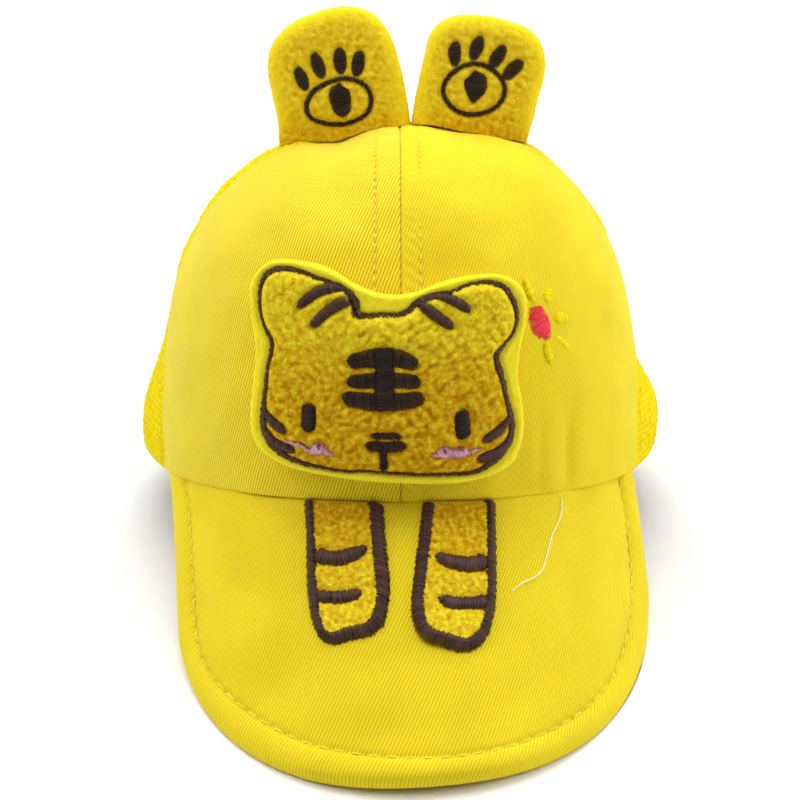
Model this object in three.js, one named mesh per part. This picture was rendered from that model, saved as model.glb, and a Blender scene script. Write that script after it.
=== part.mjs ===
// A toddler's soft cap: two cotton twill front panels, four plush mesh panels, a long arched brim, two padded paw
// ears in the crown seam, a padded tiger head patch on the front and two fleece legs on the brim.
// Lengths are millimetres and angles are degrees. Each shape is worked out in the cap's own frame, with the rim in
// the plane z = 0, the front towards -y and the wearer's left hand towards +x. The cap is then tilted back and set
// down, as it lies on a table on the ends of its brim and the back of its rim, with the cloth pressed flat there.
import * as THREE from "three";

// The rim's oval, as half sizes from its centre. It goes round a head of about 500 mm.
const RIM = { side: 74, front: 84, back: 88 };

// The crown: its height over the rim, how square its outline is towards each way, and its cloth.
const CROWN = {
  height: 99.6,
  squareFront: 2.7,
  squareSide: 2.75,
  squareBack: 2.55,
  wall: 2,
  rows: 18,
  crowding: 1.25,
  topGap: 0.8,
};

// The lower edge of the front panels rises over the brim's root, and the rise fades out up the crown.
const ARCH = { rise: 6, fade: 0.25 };

// The stretchy mesh swells outwards beside the ears, just over the rim.
const SWELL = { out: 7.2, azimuth: 98, wide: 22, rise: 0.02, tall: 0.081 };

// Seams run from the rim to the top of the crown. Each is given by its azimuth from the front at the rim and higher
// up, and swings from one to the other over the lowest part of the crown.
const SEAM_SWING = 0.28;
const SEAMS = {
  centre: { rim: 0, upper: 0 },
  left: { rim: -71, upper: -80 },
  right: { rim: 71, upper: 87 },
  rearLeft: { rim: -123, upper: -123 },
  rearRight: { rim: 123, upper: 123 },
  backLeft: { rim: -180, upper: -180 },
  backRight: { rim: 180, upper: 180 },
};

// Soft dents in the crown: where each lies, how wide and tall it is, and how deep.
const DENTS = [
  { azimuth: -66, wide: 17, rise: 0.86, tall: 0.07, deep: 2.6 },
  { azimuth: 40, wide: 3.5, rise: 0.04, tall: 0.06, deep: 1.1 },
  { azimuth: -34, wide: 16, rise: 0.16, tall: 0.1, deep: 0.9 },
  { azimuth: 62, wide: 12, rise: 0.5, tall: 0.16, deep: 0.9 },
  { azimuth: 150, wide: 20, rise: 0.45, tall: 0.2, deep: 1.6 },
  { azimuth: -152, wide: 18, rise: 0.5, tall: 0.2, deep: 1.4 },
];

// The brim is a flat sheet bent like a gutter: it starts along the rim's front and runs straight out and down.
// halfLeft and halfRight are its widths along the sheet, and turn is how far its outline is sewn on askew. Its edge
// is rounded over the width edge, rows are the shares of the way out where its grid has points, and reach is the
// share of the way across that the grid covers.
const BRIM = {
  slope: 44.6,
  yaw: 2.7,
  length: 83,
  halfLeft: 94,
  halfRight: 107,
  square: 2.54,
  turn: 2.4,
  ends: 0.32,
  thick: 4,
  under: 0.5,
  edge: 2.2,
  thinnest: 0.1,
  feel: 4,
  reach: 0.995,
  columns: 44,
  rows: [0.002, 0.12, 0.26, 0.4, 0.54, 0.68, 0.8, 0.89, 0.95, 0.985, 1],
};

// How far the cap lies tilted back, and how much of its soft edge is pressed flat.
const REST = { tilt: 13.8, pressed: 0.9 };

// A piece that lies on another keeps this clear of it.
const SEAT_GAP = 0.3;

// A pad's rings, as shares of its outline, and how square its edge is: more is flatter in the middle.
const PAD = { rings: [0.97, 0.88, 0.7, 0.4], square: 8 };

// The tiger head: a padded patch on the crown front, bent round it, with its top standing off.
const HEAD = { x: -1, y: -88.9, z: 6, lean: 5, bend: 78, front: 3.6, back: 3.4, segments: 54, middle: [-3, 36] };
const HEAD_OUTLINE = [
  { across: -3, up: 58.3 },
  { across: 5, up: 59 },
  { across: 12, up: 61.6 },
  { across: 22, up: 63.2 },
  { across: 31, up: 62.4 },
  { across: 36.6, up: 58 },
  { across: 37.2, up: 51 },
  { across: 35.4, up: 42 },
  { across: 35, up: 35 },
  { across: 36.4, up: 26 },
  { across: 36.4, up: 18 },
  { across: 33, up: 11 },
  { across: 21, up: 7 },
  { across: 0, up: 7 },
  { across: -18, up: 8.3 },
  { across: -33, up: 10.8 },
  { across: -41.4, up: 16 },
  { across: -42.8, up: 24 },
  { across: -41.6, up: 34 },
  { across: -40.9, up: 42 },
  { across: -42.4, up: 52 },
  { across: -41.6, up: 61 },
  { across: -36, up: 66.2 },
  { across: -28, up: 67 },
  { across: -19, up: 65.2 },
  { across: -11, up: 60.8 },
];

// The paw ears: padded, standing in the seam across the top of the crown, across and up from the top's centre.
const EAR = { y: -3, z: 92, lean: 5, half: 3.6, root: 2.1, rootTall: 14, segments: 38, skirt: 0.35 };
const LEFT_EAR = {
  middle: [-18, 22],
  outline: [
    { across: -35.4, up: -4 },
    { across: -37.8, up: 10 },
    { across: -40.1, up: 27 },
    { across: -38, up: 33.4 },
    { across: -33, up: 38.6 },
    { across: -25, up: 42.2 },
    { across: -16, up: 44 },
    { across: -8.4, up: 42 },
    { across: -3.4, up: 36.4 },
    { across: 0, up: 27 },
    { across: 2.2, up: 14 },
    { across: 2.1, up: 3 },
    { across: -16, up: 2 },
  ],
};
const RIGHT_EAR = {
  middle: [24, 20],
  outline: [
    { across: 4.3, up: 3 },
    { across: 4.3, up: 15 },
    { across: 6.6, up: 27 },
    { across: 9.6, up: 36.6 },
    { across: 15, up: 40.8 },
    { across: 24, up: 41.4 },
    { across: 33, up: 39.6 },
    { across: 40.4, up: 36 },
    { across: 43.8, up: 28 },
    { across: 42, up: 16 },
    { across: 38.4, up: 2 },
    { across: 36.4, up: -4 },
    { across: 20, up: 2 },
  ],
};

// The legs: thin fleece pads on the brim, across its sheet from the middle and out from its root.
const LEG = { thick: 1.7, segments: 28 };
const LEFT_LEG = {
  middle: [-16, 22],
  outline: [
    { across: -27.2, up: 2 },
    { across: -27, up: 14 },
    { across: -26.6, up: 29 },
    { across: -24.6, up: 38.6 },
    { across: -20, up: 43.4 },
    { across: -11, up: 40.2 },
    { across: -6, up: 36 },
    { across: -3.9, up: 26 },
    { across: -4.8, up: 13 },
    { across: -5, up: 2 },
  ],
};
const RIGHT_LEG = {
  middle: [13, 22],
  outline: [
    { across: 6, up: 2 },
    { across: 3.8, up: 15 },
    { across: 1.6, up: 24 },
    { across: 1.5, up: 32 },
    { across: 5.4, up: 40 },
    { across: 15, up: 44.6 },
    { across: 21, up: 42.4 },
    { across: 25, up: 32 },
    { across: 26, up: 18 },
    { across: 26.4, up: 2 },
  ],
};

const DEG = Math.PI / 180;
const FLAT_STEP = 0.004;

const twill = new THREE.MeshStandardMaterial({ color: 0xe7d031, roughness: 0.85, metalness: 0 });
const mesh = new THREE.MeshStandardMaterial({ color: 0xf2e413, roughness: 0.95, metalness: 0 });
const fleece = new THREE.MeshStandardMaterial({ color: 0xb09218, roughness: 1, metalness: 0 });

// A bell curve: 1 at its middle, and about a third of that at the distance wide.
function bell(value, middle, wide) {
  return Math.exp(-(((value - middle) / wide) ** 2));
}

// A point of the rim's oval, at an azimuth from the front.
function rimPoint(azimuth) {
  const depth = Math.cos(azimuth * DEG) > 0 ? RIM.front : RIM.back;
  return new THREE.Vector3(RIM.side * Math.sin(azimuth * DEG), -depth * Math.cos(azimuth * DEG), 0);
}

// How far the front panels' lower edge is raised over the brim's root.
function archRise(azimuth) {
  const inside = Math.max(1 - (azimuth / SEAMS.left.rim) ** 2, 0);
  return ARCH.rise * inside ** 1.5;
}

// The exponent of the crown's outline towards an azimuth: 2 is an ellipse, and more is squarer.
function squareness(azimuth) {
  const along = Math.cos(azimuth * DEG);
  const end = along > 0 ? CROWN.squareFront : CROWN.squareBack;
  return CROWN.squareSide + (end - CROWN.squareSide) * along ** 2;
}

// The crown's outer surface: rise is 0 at the rim and 1 at the top, and each meridian is a squared ellipse.
function crownPoint(azimuth, rise) {
  const power = 2 / squareness(azimuth);
  const reach = Math.max(Math.cos((rise * Math.PI) / 2), 0) ** power;
  const height = Math.sin((rise * Math.PI) / 2) ** power;
  const rim = rimPoint(azimuth);
  let out = SWELL.out * bell(Math.abs(azimuth), SWELL.azimuth, SWELL.wide) * bell(rise, SWELL.rise, SWELL.tall);
  for (const dent of DENTS) {
    out -= dent.deep * bell(azimuth, dent.azimuth, dent.wide) * bell(rise, dent.rise, dent.tall);
  }
  const point = rim.clone().multiplyScalar(reach + out / rim.length());
  point.z = CROWN.height * height + archRise(azimuth) * Math.max(1 - rise / ARCH.fade, 0) ** 2;
  return point;
}

// The height of the crown's top over a place in the rim's plane.
function crownHeight(x, y) {
  const azimuth = Math.atan2(x / RIM.side, -y / (y < 0 ? RIM.front : RIM.back)) / DEG;
  const reach = Math.hypot(x / RIM.side, y / (y < 0 ? RIM.front : RIM.back));
  const square = squareness(azimuth);
  return CROWN.height * Math.max(1 - reach ** square, 0) ** (1 / square);
}

// The azimuth of a seam at a height on the crown.
function seamAzimuth(seam, rise) {
  return seam.rim + (seam.upper - seam.rim) * THREE.MathUtils.smoothstep(rise, 0, SEAM_SWING);
}

// The unit normal of a surface of two parameters, from its slopes, pointing to the side that sign gives.
function normalAt(surface, a, b, sign) {
  const alongA = surface(a + FLAT_STEP, b).sub(surface(a - FLAT_STEP, b));
  const alongB = surface(a, b + FLAT_STEP).sub(surface(a, b - FLAT_STEP));
  return alongA.cross(alongB).normalize().multiplyScalar(sign);
}

// From the cap's own frame to the table: tilted back about x, lowered, and pressed flat where it touches.
function setDown(point) {
  const drop = RIM.back * Math.sin(REST.tilt * DEG) - REST.pressed;
  const down = point.clone().applyAxisAngle(new THREE.Vector3(1, 0, 0), -REST.tilt * DEG);
  down.z = Math.max(down.z + drop, 0);
  return down;
}

// A closed body from points and triangles, with its faces turned outwards, as a named mesh.
function body(name, points, triangles, material) {
  let volume = 0;
  const placed = points.map(setDown);
  for (const [a, b, c] of triangles) {
    volume += placed[a].dot(placed[b].clone().cross(placed[c]));
  }
  const turned = volume < 0 ? triangles.map(([a, b, c]) => [a, c, b]) : triangles;
  const geometry = new THREE.BufferGeometry();
  geometry.setFromPoints(placed);
  geometry.setIndex(turned.flat());
  geometry.computeVertexNormals();
  const made = new THREE.Mesh(geometry, material);
  made.name = name;
  return made;
}

// A wall between two grids of points of the same size, closed all round its border.
function wallBetween(name, outer, inner, material) {
  const rows = outer.length;
  const columns = outer[0].length;
  const points = [...outer.flat(), ...inner.flat()];
  const at = (side, row, column) => side * rows * columns + row * columns + column;
  const triangles = [];
  const quad = (a, b, c, d) => triangles.push([a, b, c], [a, c, d]);
  for (let row = 0; row + 1 < rows; row += 1) {
    for (let column = 0; column + 1 < columns; column += 1) {
      quad(at(0, row, column), at(0, row, column + 1), at(0, row + 1, column + 1), at(0, row + 1, column));
      quad(at(1, row, column), at(1, row + 1, column), at(1, row + 1, column + 1), at(1, row, column + 1));
    }
  }
  for (let column = 0; column + 1 < columns; column += 1) {
    quad(at(0, 0, column), at(1, 0, column), at(1, 0, column + 1), at(0, 0, column + 1));
    const top = rows - 1;
    quad(at(0, top, column), at(0, top, column + 1), at(1, top, column + 1), at(1, top, column));
  }
  for (let row = 0; row + 1 < rows; row += 1) {
    quad(at(0, row, 0), at(0, row + 1, 0), at(1, row + 1, 0), at(1, row, 0));
    const end = columns - 1;
    quad(at(0, row, end), at(1, row, end), at(1, row + 1, end), at(0, row + 1, end));
  }
  return body(name, points, triangles, material);
}

// One panel of the crown, between two seams, with half a seam's gap left along each. Its rows lie closer together
// near the rim, where a meridian climbs fastest.
function crownPanel(name, from, to, columns, material) {
  const topRise = 1 - (2 / Math.PI) * Math.asin((CROWN.topGap / RIM.side) ** (CROWN.squareSide / 2));
  const outer = [];
  const inner = [];
  for (let row = 0; row <= CROWN.rows; row += 1) {
    const rise = topRise * (row / CROWN.rows) ** CROWN.crowding;
    const reach = Math.hypot(crownPoint(to.rim, rise).x, crownPoint(to.rim, rise).y);
    const gap = SEAT_GAP / 2 / Math.max(reach, CROWN.topGap) / DEG;
    const start = seamAzimuth(from, rise) + gap;
    const end = seamAzimuth(to, rise) - gap;
    outer.push([]);
    inner.push([]);
    for (let column = 0; column <= columns; column += 1) {
      const azimuth = start + ((end - start) * column) / columns;
      const point = crownPoint(azimuth, rise);
      const level = THREE.MathUtils.clamp(rise, FLAT_STEP, 1 - 2 * FLAT_STEP);
      const inward = normalAt(crownPoint, azimuth, level, -1).multiplyScalar(CROWN.wall);
      outer[row].push(point);
      inner[row].push(point.clone().add(inward));
    }
  }
  return wallBetween(name, outer, inner, material);
}

// The line that the brim grows from: the rim's front, raised by the arch.
function brimRoot() {
  const arc = [];
  for (let step = 0; step <= BRIM.columns; step += 1) {
    const azimuth = SEAMS.left.rim + ((SEAMS.right.rim - SEAMS.left.rim) * step) / BRIM.columns;
    const point = rimPoint(azimuth);
    point.z = archRise(azimuth);
    arc.push(point);
  }
  const length = arc.slice(1).reduce((sum, point, i) => sum + point.distanceTo(arc[i]), 0);
  return { arc, half: length / 2 };
}
const root = brimRoot();

// The brim's root at a distance along it from the middle, found between the arc's points, and straight on past
// its two ends.
function rootPoint(across) {
  const { arc, half } = root;
  let left = across + half;
  let i = 0;
  while (i < arc.length - 2 && left > arc[i].distanceTo(arc[i + 1])) {
    left -= arc[i].distanceTo(arc[i + 1]);
    i += 1;
  }
  const step = arc[i + 1].clone().sub(arc[i]);
  return arc[i].clone().add(step.clone().multiplyScalar(left / step.length()));
}

// The brim's sheet: across along the root, and out along the one direction in which the sheet is straight.
function sheetPoint(across, out) {
  const level = Math.cos(BRIM.slope * DEG);
  const way = new THREE.Vector3(
    Math.sin(BRIM.yaw * DEG) * level,
    -Math.cos(BRIM.yaw * DEG) * level,
    -Math.sin(BRIM.slope * DEG),
  );
  return rootPoint(across).add(way.multiplyScalar(out));
}

// The sheet's normal, up and outwards, measured over a few millimetres so that the arc's short steps don't show.
function sheetNormal(across, out) {
  const alongRoot = sheetPoint(across + BRIM.feel, out).sub(sheetPoint(across - BRIM.feel, out));
  const alongWay = sheetPoint(across, out + BRIM.feel).sub(sheetPoint(across, out));
  return alongWay.cross(alongRoot).normalize();
}

// The brim's outer edge on the sheet: a squared ellipse, turned a little, whose ends run in to the root's ends.
function brimEdge(share) {
  const { length, halfLeft, halfRight, square, turn, ends } = BRIM;
  const angle = (share * Math.PI) / 2;
  const half = share > 0 ? halfRight : halfLeft;
  const across = half * Math.sign(share) * Math.abs(Math.sin(angle)) ** (2 / square);
  const out = length * Math.abs(Math.cos(angle)) ** (2 / square);
  const turned = new THREE.Vector2(across, out).rotateAround(new THREE.Vector2(0, 0), -turn * DEG);
  const join = THREE.MathUtils.clamp((1 - Math.abs(share)) / ends, 0, 1) ** 0.5;
  const rootAcross = share * root.half;
  return new THREE.Vector2(rootAcross + (turned.x - rootAcross) * join, turned.y * join);
}

// The brim: a padded sheet with a rounded outer edge, tucked against the underside of the crown's edge.
function brimBody() {
  const upper = [];
  const lower = [];
  for (const share of BRIM.rows) {
    upper.push([]);
    lower.push([]);
    for (let column = 0; column <= BRIM.columns; column += 1) {
      const place = BRIM.reach * ((2 * column) / BRIM.columns - 1);
      const edge = brimEdge(place);
      const across = place * root.half + (edge.x - place * root.half) * share;
      const out = edge.y * share;
      const fromEdge = Math.hypot(edge.x - across, edge.y - out);
      const side = Math.min(fromEdge / BRIM.edge, 1);
      const round = Math.max(Math.sqrt(1 - (1 - side) ** 2), BRIM.thinnest);
      const normal = sheetNormal(across, out);
      const middle = sheetPoint(across, out).addScaledVector(normal, -BRIM.under - BRIM.thick / 2);
      upper[upper.length - 1].push(middle.clone().addScaledVector(normal, (BRIM.thick / 2) * round));
      lower[lower.length - 1].push(middle.clone().addScaledVector(normal, (-BRIM.thick / 2) * round));
    }
  }
  return wallBetween("brim", upper, lower, twill);
}

// A smooth closed outline through a table of points, as evenly spaced plane points.
function smoothOutline(table, segments) {
  const corners = table.map(({ across, up }) => new THREE.Vector3(across, up, 0));
  const curve = new THREE.CatmullRomCurve3(corners, true, "centripetal");
  return curve.getSpacedPoints(segments).slice(0, segments);
}

// A pad: rings of the outline shrunk towards its middle, raised on both faces, with place putting each point.
function pad(name, outline, middle, front, back, place, material) {
  const segments = outline.length;
  const points = outline.map((p) => place(p.x, p.y, 0));
  const triangles = [];
  for (const height of [front, -back]) {
    let before = 0;
    for (const ring of PAD.rings) {
      const start = points.length;
      const raise = height * Math.sqrt(1 - ring ** PAD.square);
      for (const p of outline) {
        points.push(place(middle[0] + (p.x - middle[0]) * ring, middle[1] + (p.y - middle[1]) * ring, raise));
      }
      for (let i = 0; i < segments; i += 1) {
        const next = (i + 1) % segments;
        const faces = [
          [before + i, before + next, start + next],
          [before + i, start + next, start + i],
        ];
        triangles.push(...(height > 0 ? faces : faces.map(([a, b, c]) => [a, c, b])));
      }
      before = start;
    }
    points.push(place(middle[0], middle[1], height));
    const tip = points.length - 1;
    for (let i = 0; i < segments; i += 1) {
      const next = (i + 1) % segments;
      triangles.push(height > 0 ? [before + i, before + next, tip] : [before + next, before + i, tip]);
    }
  }
  return body(name, points, triangles, material);
}

// The tiger head's place: bent round the crown, leaning back with it.
function headPlace(across, up, raise) {
  const angle = across / HEAD.bend;
  const point = new THREE.Vector3(
    HEAD.x + HEAD.bend * Math.sin(angle),
    HEAD.y + HEAD.bend * (1 - Math.cos(angle)) + up * Math.sin(HEAD.lean * DEG),
    HEAD.z + up * Math.cos(HEAD.lean * DEG),
  );
  return point.add(new THREE.Vector3(Math.sin(angle) * raise, -Math.cos(angle) * raise, 0));
}

// A paw ear's place: upright in the top seam, thinner at its root, where it stands on the crown's cloth.
function earPlace(across, up, raise) {
  const thin = THREE.MathUtils.smoothstep(up, 0, EAR.rootTall);
  const thick = (raise / EAR.half) * (EAR.root + (EAR.half - EAR.root) * thin);
  const y = EAR.y + up * Math.sin(EAR.lean * DEG) - thick;
  const z = EAR.z + up * Math.cos(EAR.lean * DEG);
  return new THREE.Vector3(across, y, Math.max(z, crownHeight(across, y) + EAR.skirt));
}

// A leg's place: flat on the brim's upper face.
function legPlace(across, out, raise) {
  const lift = SEAT_GAP - BRIM.under + LEG.thick / 2 + raise;
  return sheetPoint(across, out).addScaledVector(sheetNormal(across, out), lift);
}

const cap = new THREE.Group();
cap.name = "cap";
cap.add(
  crownPanel("crown_front_left", SEAMS.left, SEAMS.centre, 14, twill),
  crownPanel("crown_front_right", SEAMS.centre, SEAMS.right, 15, twill),
  crownPanel("mesh_side_left", SEAMS.rearLeft, SEAMS.left, 9, mesh),
  crownPanel("mesh_side_right", SEAMS.right, SEAMS.rearRight, 9, mesh),
  crownPanel("mesh_back_left", SEAMS.backLeft, SEAMS.rearLeft, 10, mesh),
  crownPanel("mesh_back_right", SEAMS.rearRight, SEAMS.backRight, 10, mesh),
  brimBody(),
);
const ears = [
  { name: "paw_ear_left", ...LEFT_EAR },
  { name: "paw_ear_right", ...RIGHT_EAR },
];
for (const { name, middle, outline } of ears) {
  cap.add(pad(name, smoothOutline(outline, EAR.segments), middle, EAR.half, EAR.half, earPlace, fleece));
}
const headOutline = smoothOutline(HEAD_OUTLINE, HEAD.segments);
cap.add(pad("tiger_head", headOutline, HEAD.middle, HEAD.front, HEAD.back, headPlace, fleece));
const legs = [
  { name: "leg_left", ...LEFT_LEG },
  { name: "leg_right", ...RIGHT_LEG },
];
for (const { name, middle, outline } of legs) {
  cap.add(pad(name, smoothOutline(outline, LEG.segments), middle, LEG.thick / 2, LEG.thick / 2, legPlace, fleece));
}

// The origin is the middle of the box that the cap fills, on the surface that it rests on.
const box = new THREE.Box3().setFromObject(cap);
cap.position.set(-(box.min.x + box.max.x) / 2, -(box.min.y + box.max.y) / 2, 0);
cap.updateMatrixWorld(true);

export default cap;
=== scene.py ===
# %% [markdown]
# A toddler's soft cap, dressed piece by piece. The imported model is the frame: it says where each piece is.
# The surfaces below follow the formulas of its solids, only finer, and a few edges are fitted 1 to 3 mm
# closer to the photograph. Lengths are millimetres in the cap's own frame, with the rim in the plane z = 0
# and the front towards -y, until a mesh is made. Then the cap is set down on the table and turned to metres.
# Left and right in names are as seen from in front of the cap.

# %% Load the frame
import math

import bpy
import numpy as np
from mathutils import Matrix, Vector


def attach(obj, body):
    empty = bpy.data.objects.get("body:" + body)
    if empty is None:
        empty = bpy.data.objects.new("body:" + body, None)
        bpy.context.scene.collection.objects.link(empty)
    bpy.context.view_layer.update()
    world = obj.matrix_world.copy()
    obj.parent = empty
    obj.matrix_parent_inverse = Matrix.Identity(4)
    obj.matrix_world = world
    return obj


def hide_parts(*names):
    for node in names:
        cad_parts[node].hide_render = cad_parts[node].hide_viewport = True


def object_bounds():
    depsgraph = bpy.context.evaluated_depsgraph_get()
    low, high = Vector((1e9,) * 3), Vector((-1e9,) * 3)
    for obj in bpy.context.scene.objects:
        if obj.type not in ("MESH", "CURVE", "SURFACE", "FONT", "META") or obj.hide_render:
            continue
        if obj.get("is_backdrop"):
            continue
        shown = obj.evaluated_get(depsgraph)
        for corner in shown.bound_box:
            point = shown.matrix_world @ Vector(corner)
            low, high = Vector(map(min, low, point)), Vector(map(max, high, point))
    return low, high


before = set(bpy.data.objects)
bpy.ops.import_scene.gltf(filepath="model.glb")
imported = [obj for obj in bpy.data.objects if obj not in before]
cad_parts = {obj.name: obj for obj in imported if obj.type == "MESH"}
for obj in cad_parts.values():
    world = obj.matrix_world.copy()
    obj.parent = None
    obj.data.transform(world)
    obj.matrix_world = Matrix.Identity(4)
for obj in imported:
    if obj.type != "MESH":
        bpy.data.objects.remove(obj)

cad_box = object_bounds()
print("CAD box in mm:", [[round(c * 1000, 1) for c in corner] for corner in cad_box])

# %% [markdown]
# The camera comes first. It was fitted to the photograph: a long lens about 620 mm from the cap, a little
# above it. Its place is known in the cap's own frame, so it is tilted back with the cap like any point of it.

# %% The cap's sizes
RIM_SIDE, RIM_FRONT, RIM_BACK = 74, 84, 88
CROWN_HEIGHT, CROWN_WALL, TOP_GAP = 99.6, 2, 0.8
SQUARE_FRONT, SQUARE_SIDE, SQUARE_BACK = 2.7, 2.75, 2.55
ARCH_RISE, ARCH_FADE, ARCH_END = 6, 0.25, 71
TILT, PRESSED, SHIFT_BACK = math.radians(13.8), 0.9, 29.211
MM = 0.001


def set_down(points):
    """Tilt the cap back about x, lower it to the table, press flat what would go under it, and turn to
    metres."""
    x, y, z = np.moveaxis(np.asarray(points, float), -1, 0)
    back = y * math.cos(TILT) + z * math.sin(TILT) + SHIFT_BACK
    up = z * math.cos(TILT) - y * math.sin(TILT) + RIM_BACK * math.sin(TILT) - PRESSED
    return np.stack([x, back, np.maximum(up, 0)], -1) * MM


print("the rim's back, set down, in metres:", set_down([0, RIM_BACK, 0]).round(4))

# %% The camera
CAMERA_TARGET = np.array([0.08, -20.0, 19.52])
CAMERA_DISTANCE, CAMERA_ABOVE, CAMERA_ROUND, CAMERA_ROLL = 620, 13.64, -0.36, 0.07
FOCAL_PIXELS, PICTURE_PIXELS, SENSOR = 2044.7, 800, 36


def camera_axes():
    """The camera's right, up and back, from its angle over the rim's plane and round the cap."""
    above, around = math.radians(CAMERA_ABOVE), math.radians(CAMERA_ROUND)
    back = np.array([
        math.sin(around) * math.cos(above),
        -math.cos(around) * math.cos(above),
        math.sin(above),
    ])
    right = np.cross([0, 0, 1], back)
    right /= np.linalg.norm(right)
    up = np.cross(back, right)
    roll = math.radians(CAMERA_ROLL)
    return right * math.cos(roll) + up * math.sin(roll), up * math.cos(roll) - right * math.sin(roll), back


def turned(direction):
    """A direction of the cap's frame after the cap is tilted back."""
    x, y, z = direction
    return [x, y * math.cos(TILT) + z * math.sin(TILT), z * math.cos(TILT) - y * math.sin(TILT)]


right, up, back = camera_axes()
camera = bpy.data.objects.new("camera", bpy.data.cameras.new("camera"))
bpy.context.scene.collection.objects.link(camera)
bpy.context.scene.camera = camera
camera.data.sensor_width = SENSOR
camera.data.lens = FOCAL_PIXELS * SENSOR / PICTURE_PIXELS
camera.data.clip_start, camera.data.clip_end = 0.05, 20
axes = np.array([turned(right), turned(up), turned(back)]).T
placed = np.eye(4)
placed[:3, :3] = axes
placed[:3, 3] = set_down(CAMERA_TARGET + CAMERA_DISTANCE * back)
camera.matrix_world = Matrix(placed.tolist())
print("lens %.1f mm, camera at" % camera.data.lens, placed[:3, 3].round(3))

# %% [markdown]
# The crown is one smooth form: each upright section is a squared ellipse, and the rim is an oval. Cloth is
# never as even as that, so the same soft dents that the solid has are pressed into it.


# %% The crown's surface
SWELL_OUT, SWELL_AT, SWELL_WIDE, SWELL_RISE, SWELL_TALL = 7.2, 98, 22, 0.02, 0.081
SLOPE_AZIMUTH, SLOPE_RISE, LOWEST_SLOPE = 0.1, 0.002, 0.004
# Dents: azimuth and its width in degrees, rise and its width, and depth
DENTS = [
    (-66, 17, 0.86, 0.07, 2.6),
    (40, 3.5, 0.04, 0.06, 1.1),
    (-34, 16, 0.16, 0.1, 0.9),
    (62, 12, 0.5, 0.16, 0.9),
    (150, 20, 0.45, 0.2, 1.6),
    (-152, 18, 0.5, 0.2, 1.4),
]


def bell(value, middle, wide):
    """1 at the middle, falling off as e to the minus square of the distance over the width."""
    return np.exp(-(((value - middle) / wide) ** 2))


def ease(value, low, high):
    """0 below low, 1 above high, and a smooth S between."""
    share = np.clip((value - low) / (high - low), 0, 1)
    return share * share * (3 - 2 * share)


def unit(vectors):
    """Each vector over its length."""
    return vectors / np.maximum(np.linalg.norm(vectors, axis=-1, keepdims=True), 1e-9)


def rim_point(azimuth):
    """The rim's oval: its side half times the sine across, and its front or back half times the cosine
    along."""
    angle = np.radians(azimuth)
    depth = np.where(np.cos(angle) > 0, RIM_FRONT, RIM_BACK)
    return np.stack([RIM_SIDE * np.sin(angle), -depth * np.cos(angle), 0 * angle], -1)


def arch_rise(azimuth):
    """How far the front panels' lower edge is raised: one minus the squared share of the way to its end, to
    3/2."""
    return ARCH_RISE * np.clip(1 - (azimuth / ARCH_END) ** 2, 0, None) ** 1.5


def squareness(azimuth):
    """The section's exponent: the side's, blended towards the front's or the back's with the squared
    cosine."""
    along = np.cos(np.radians(azimuth))
    end = np.where(along > 0, SQUARE_FRONT, SQUARE_BACK)
    return SQUARE_SIDE + (end - SQUARE_SIDE) * along**2


# Waves of the top: place across, width and height
TOP_WAVES = [(-20, 8, -2.8), (7, 9, 1.4), (40, 8, 2.2)]


def top_wave(x, y, z):
    """How far the top stands up or sinks: bells across it, only near the top and in front of the mesh."""
    near = ease(z, 72, 92) * (1 - ease(y, 4, 30))
    return near * sum(up * bell(x, middle, wide) for middle, wide, up in TOP_WAVES)


def crown_point(azimuth, rise):
    """The squared ellipse cos and sin of rise times a quarter turn, each to 2 over the exponent, less the
    dents."""
    azimuth, rise = np.broadcast_arrays(np.asarray(azimuth, float), np.asarray(rise, float))
    level = np.clip(rise, 0, 1) * np.pi / 2
    power = 2 / squareness(azimuth)
    reach = np.clip(np.cos(level), 0, None) ** power
    rim = rim_point(azimuth)
    out = SWELL_OUT * bell(np.abs(azimuth), SWELL_AT, SWELL_WIDE) * bell(rise, SWELL_RISE, SWELL_TALL)
    for middle, wide, height, tall, deep in DENTS:
        out = out - deep * bell(azimuth, middle, wide) * bell(rise, height, tall)
    point = rim * (reach + out / np.linalg.norm(rim, axis=-1))[..., None]
    fade = np.clip(1 - rise / ARCH_FADE, 0, None) ** 2
    point[..., 2] = CROWN_HEIGHT * np.sin(level) ** power + arch_rise(azimuth) * fade
    point[..., 2] += top_wave(*np.moveaxis(point, -1, 0))
    return point


def crown_top(x, y):
    """The crown's height over a place in the rim's plane: one minus the reach to the exponent, to one over
    it."""
    depth = np.where(y < 0, RIM_FRONT, RIM_BACK)
    azimuth = np.degrees(np.arctan2(x / RIM_SIDE, -y / depth))
    reach = np.hypot(x / RIM_SIDE, y / depth)
    square = squareness(azimuth)
    top = CROWN_HEIGHT * np.clip(1 - reach**square, 0, None) ** (1 / square)
    return top + top_wave(x, y, top)


def crown_normal(azimuth, rise, highest=0.99):
    """The unit normal: the cross product of the slopes along azimuth and rise, kept off the rim and the
    top."""
    level = np.clip(rise, LOWEST_SLOPE, highest)
    round_it = crown_point(azimuth + SLOPE_AZIMUTH, level) - crown_point(azimuth - SLOPE_AZIMUTH, level)
    up_it = crown_point(azimuth, level + SLOPE_RISE) - crown_point(azimuth, level - SLOPE_RISE)
    return unit(np.cross(round_it, up_it))


def crown_place(azimuth, rise, lift):
    """A point at a height over the crown's cloth."""
    return crown_point(azimuth, rise) + crown_normal(azimuth, rise) * np.asarray(lift)[..., None]


print("the crown's front middle, half way up:", crown_point(0, 0.5).round(1))

# %% [markdown]
# A surface worked out as a grid of points has to become a mesh. Cloth has a thickness, so a panel is a wall
# between an outer and an inner grid, closed all round its border. A stuffed pad is one grid that is closed
# along one way and has a pole at each end of the other.


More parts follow.
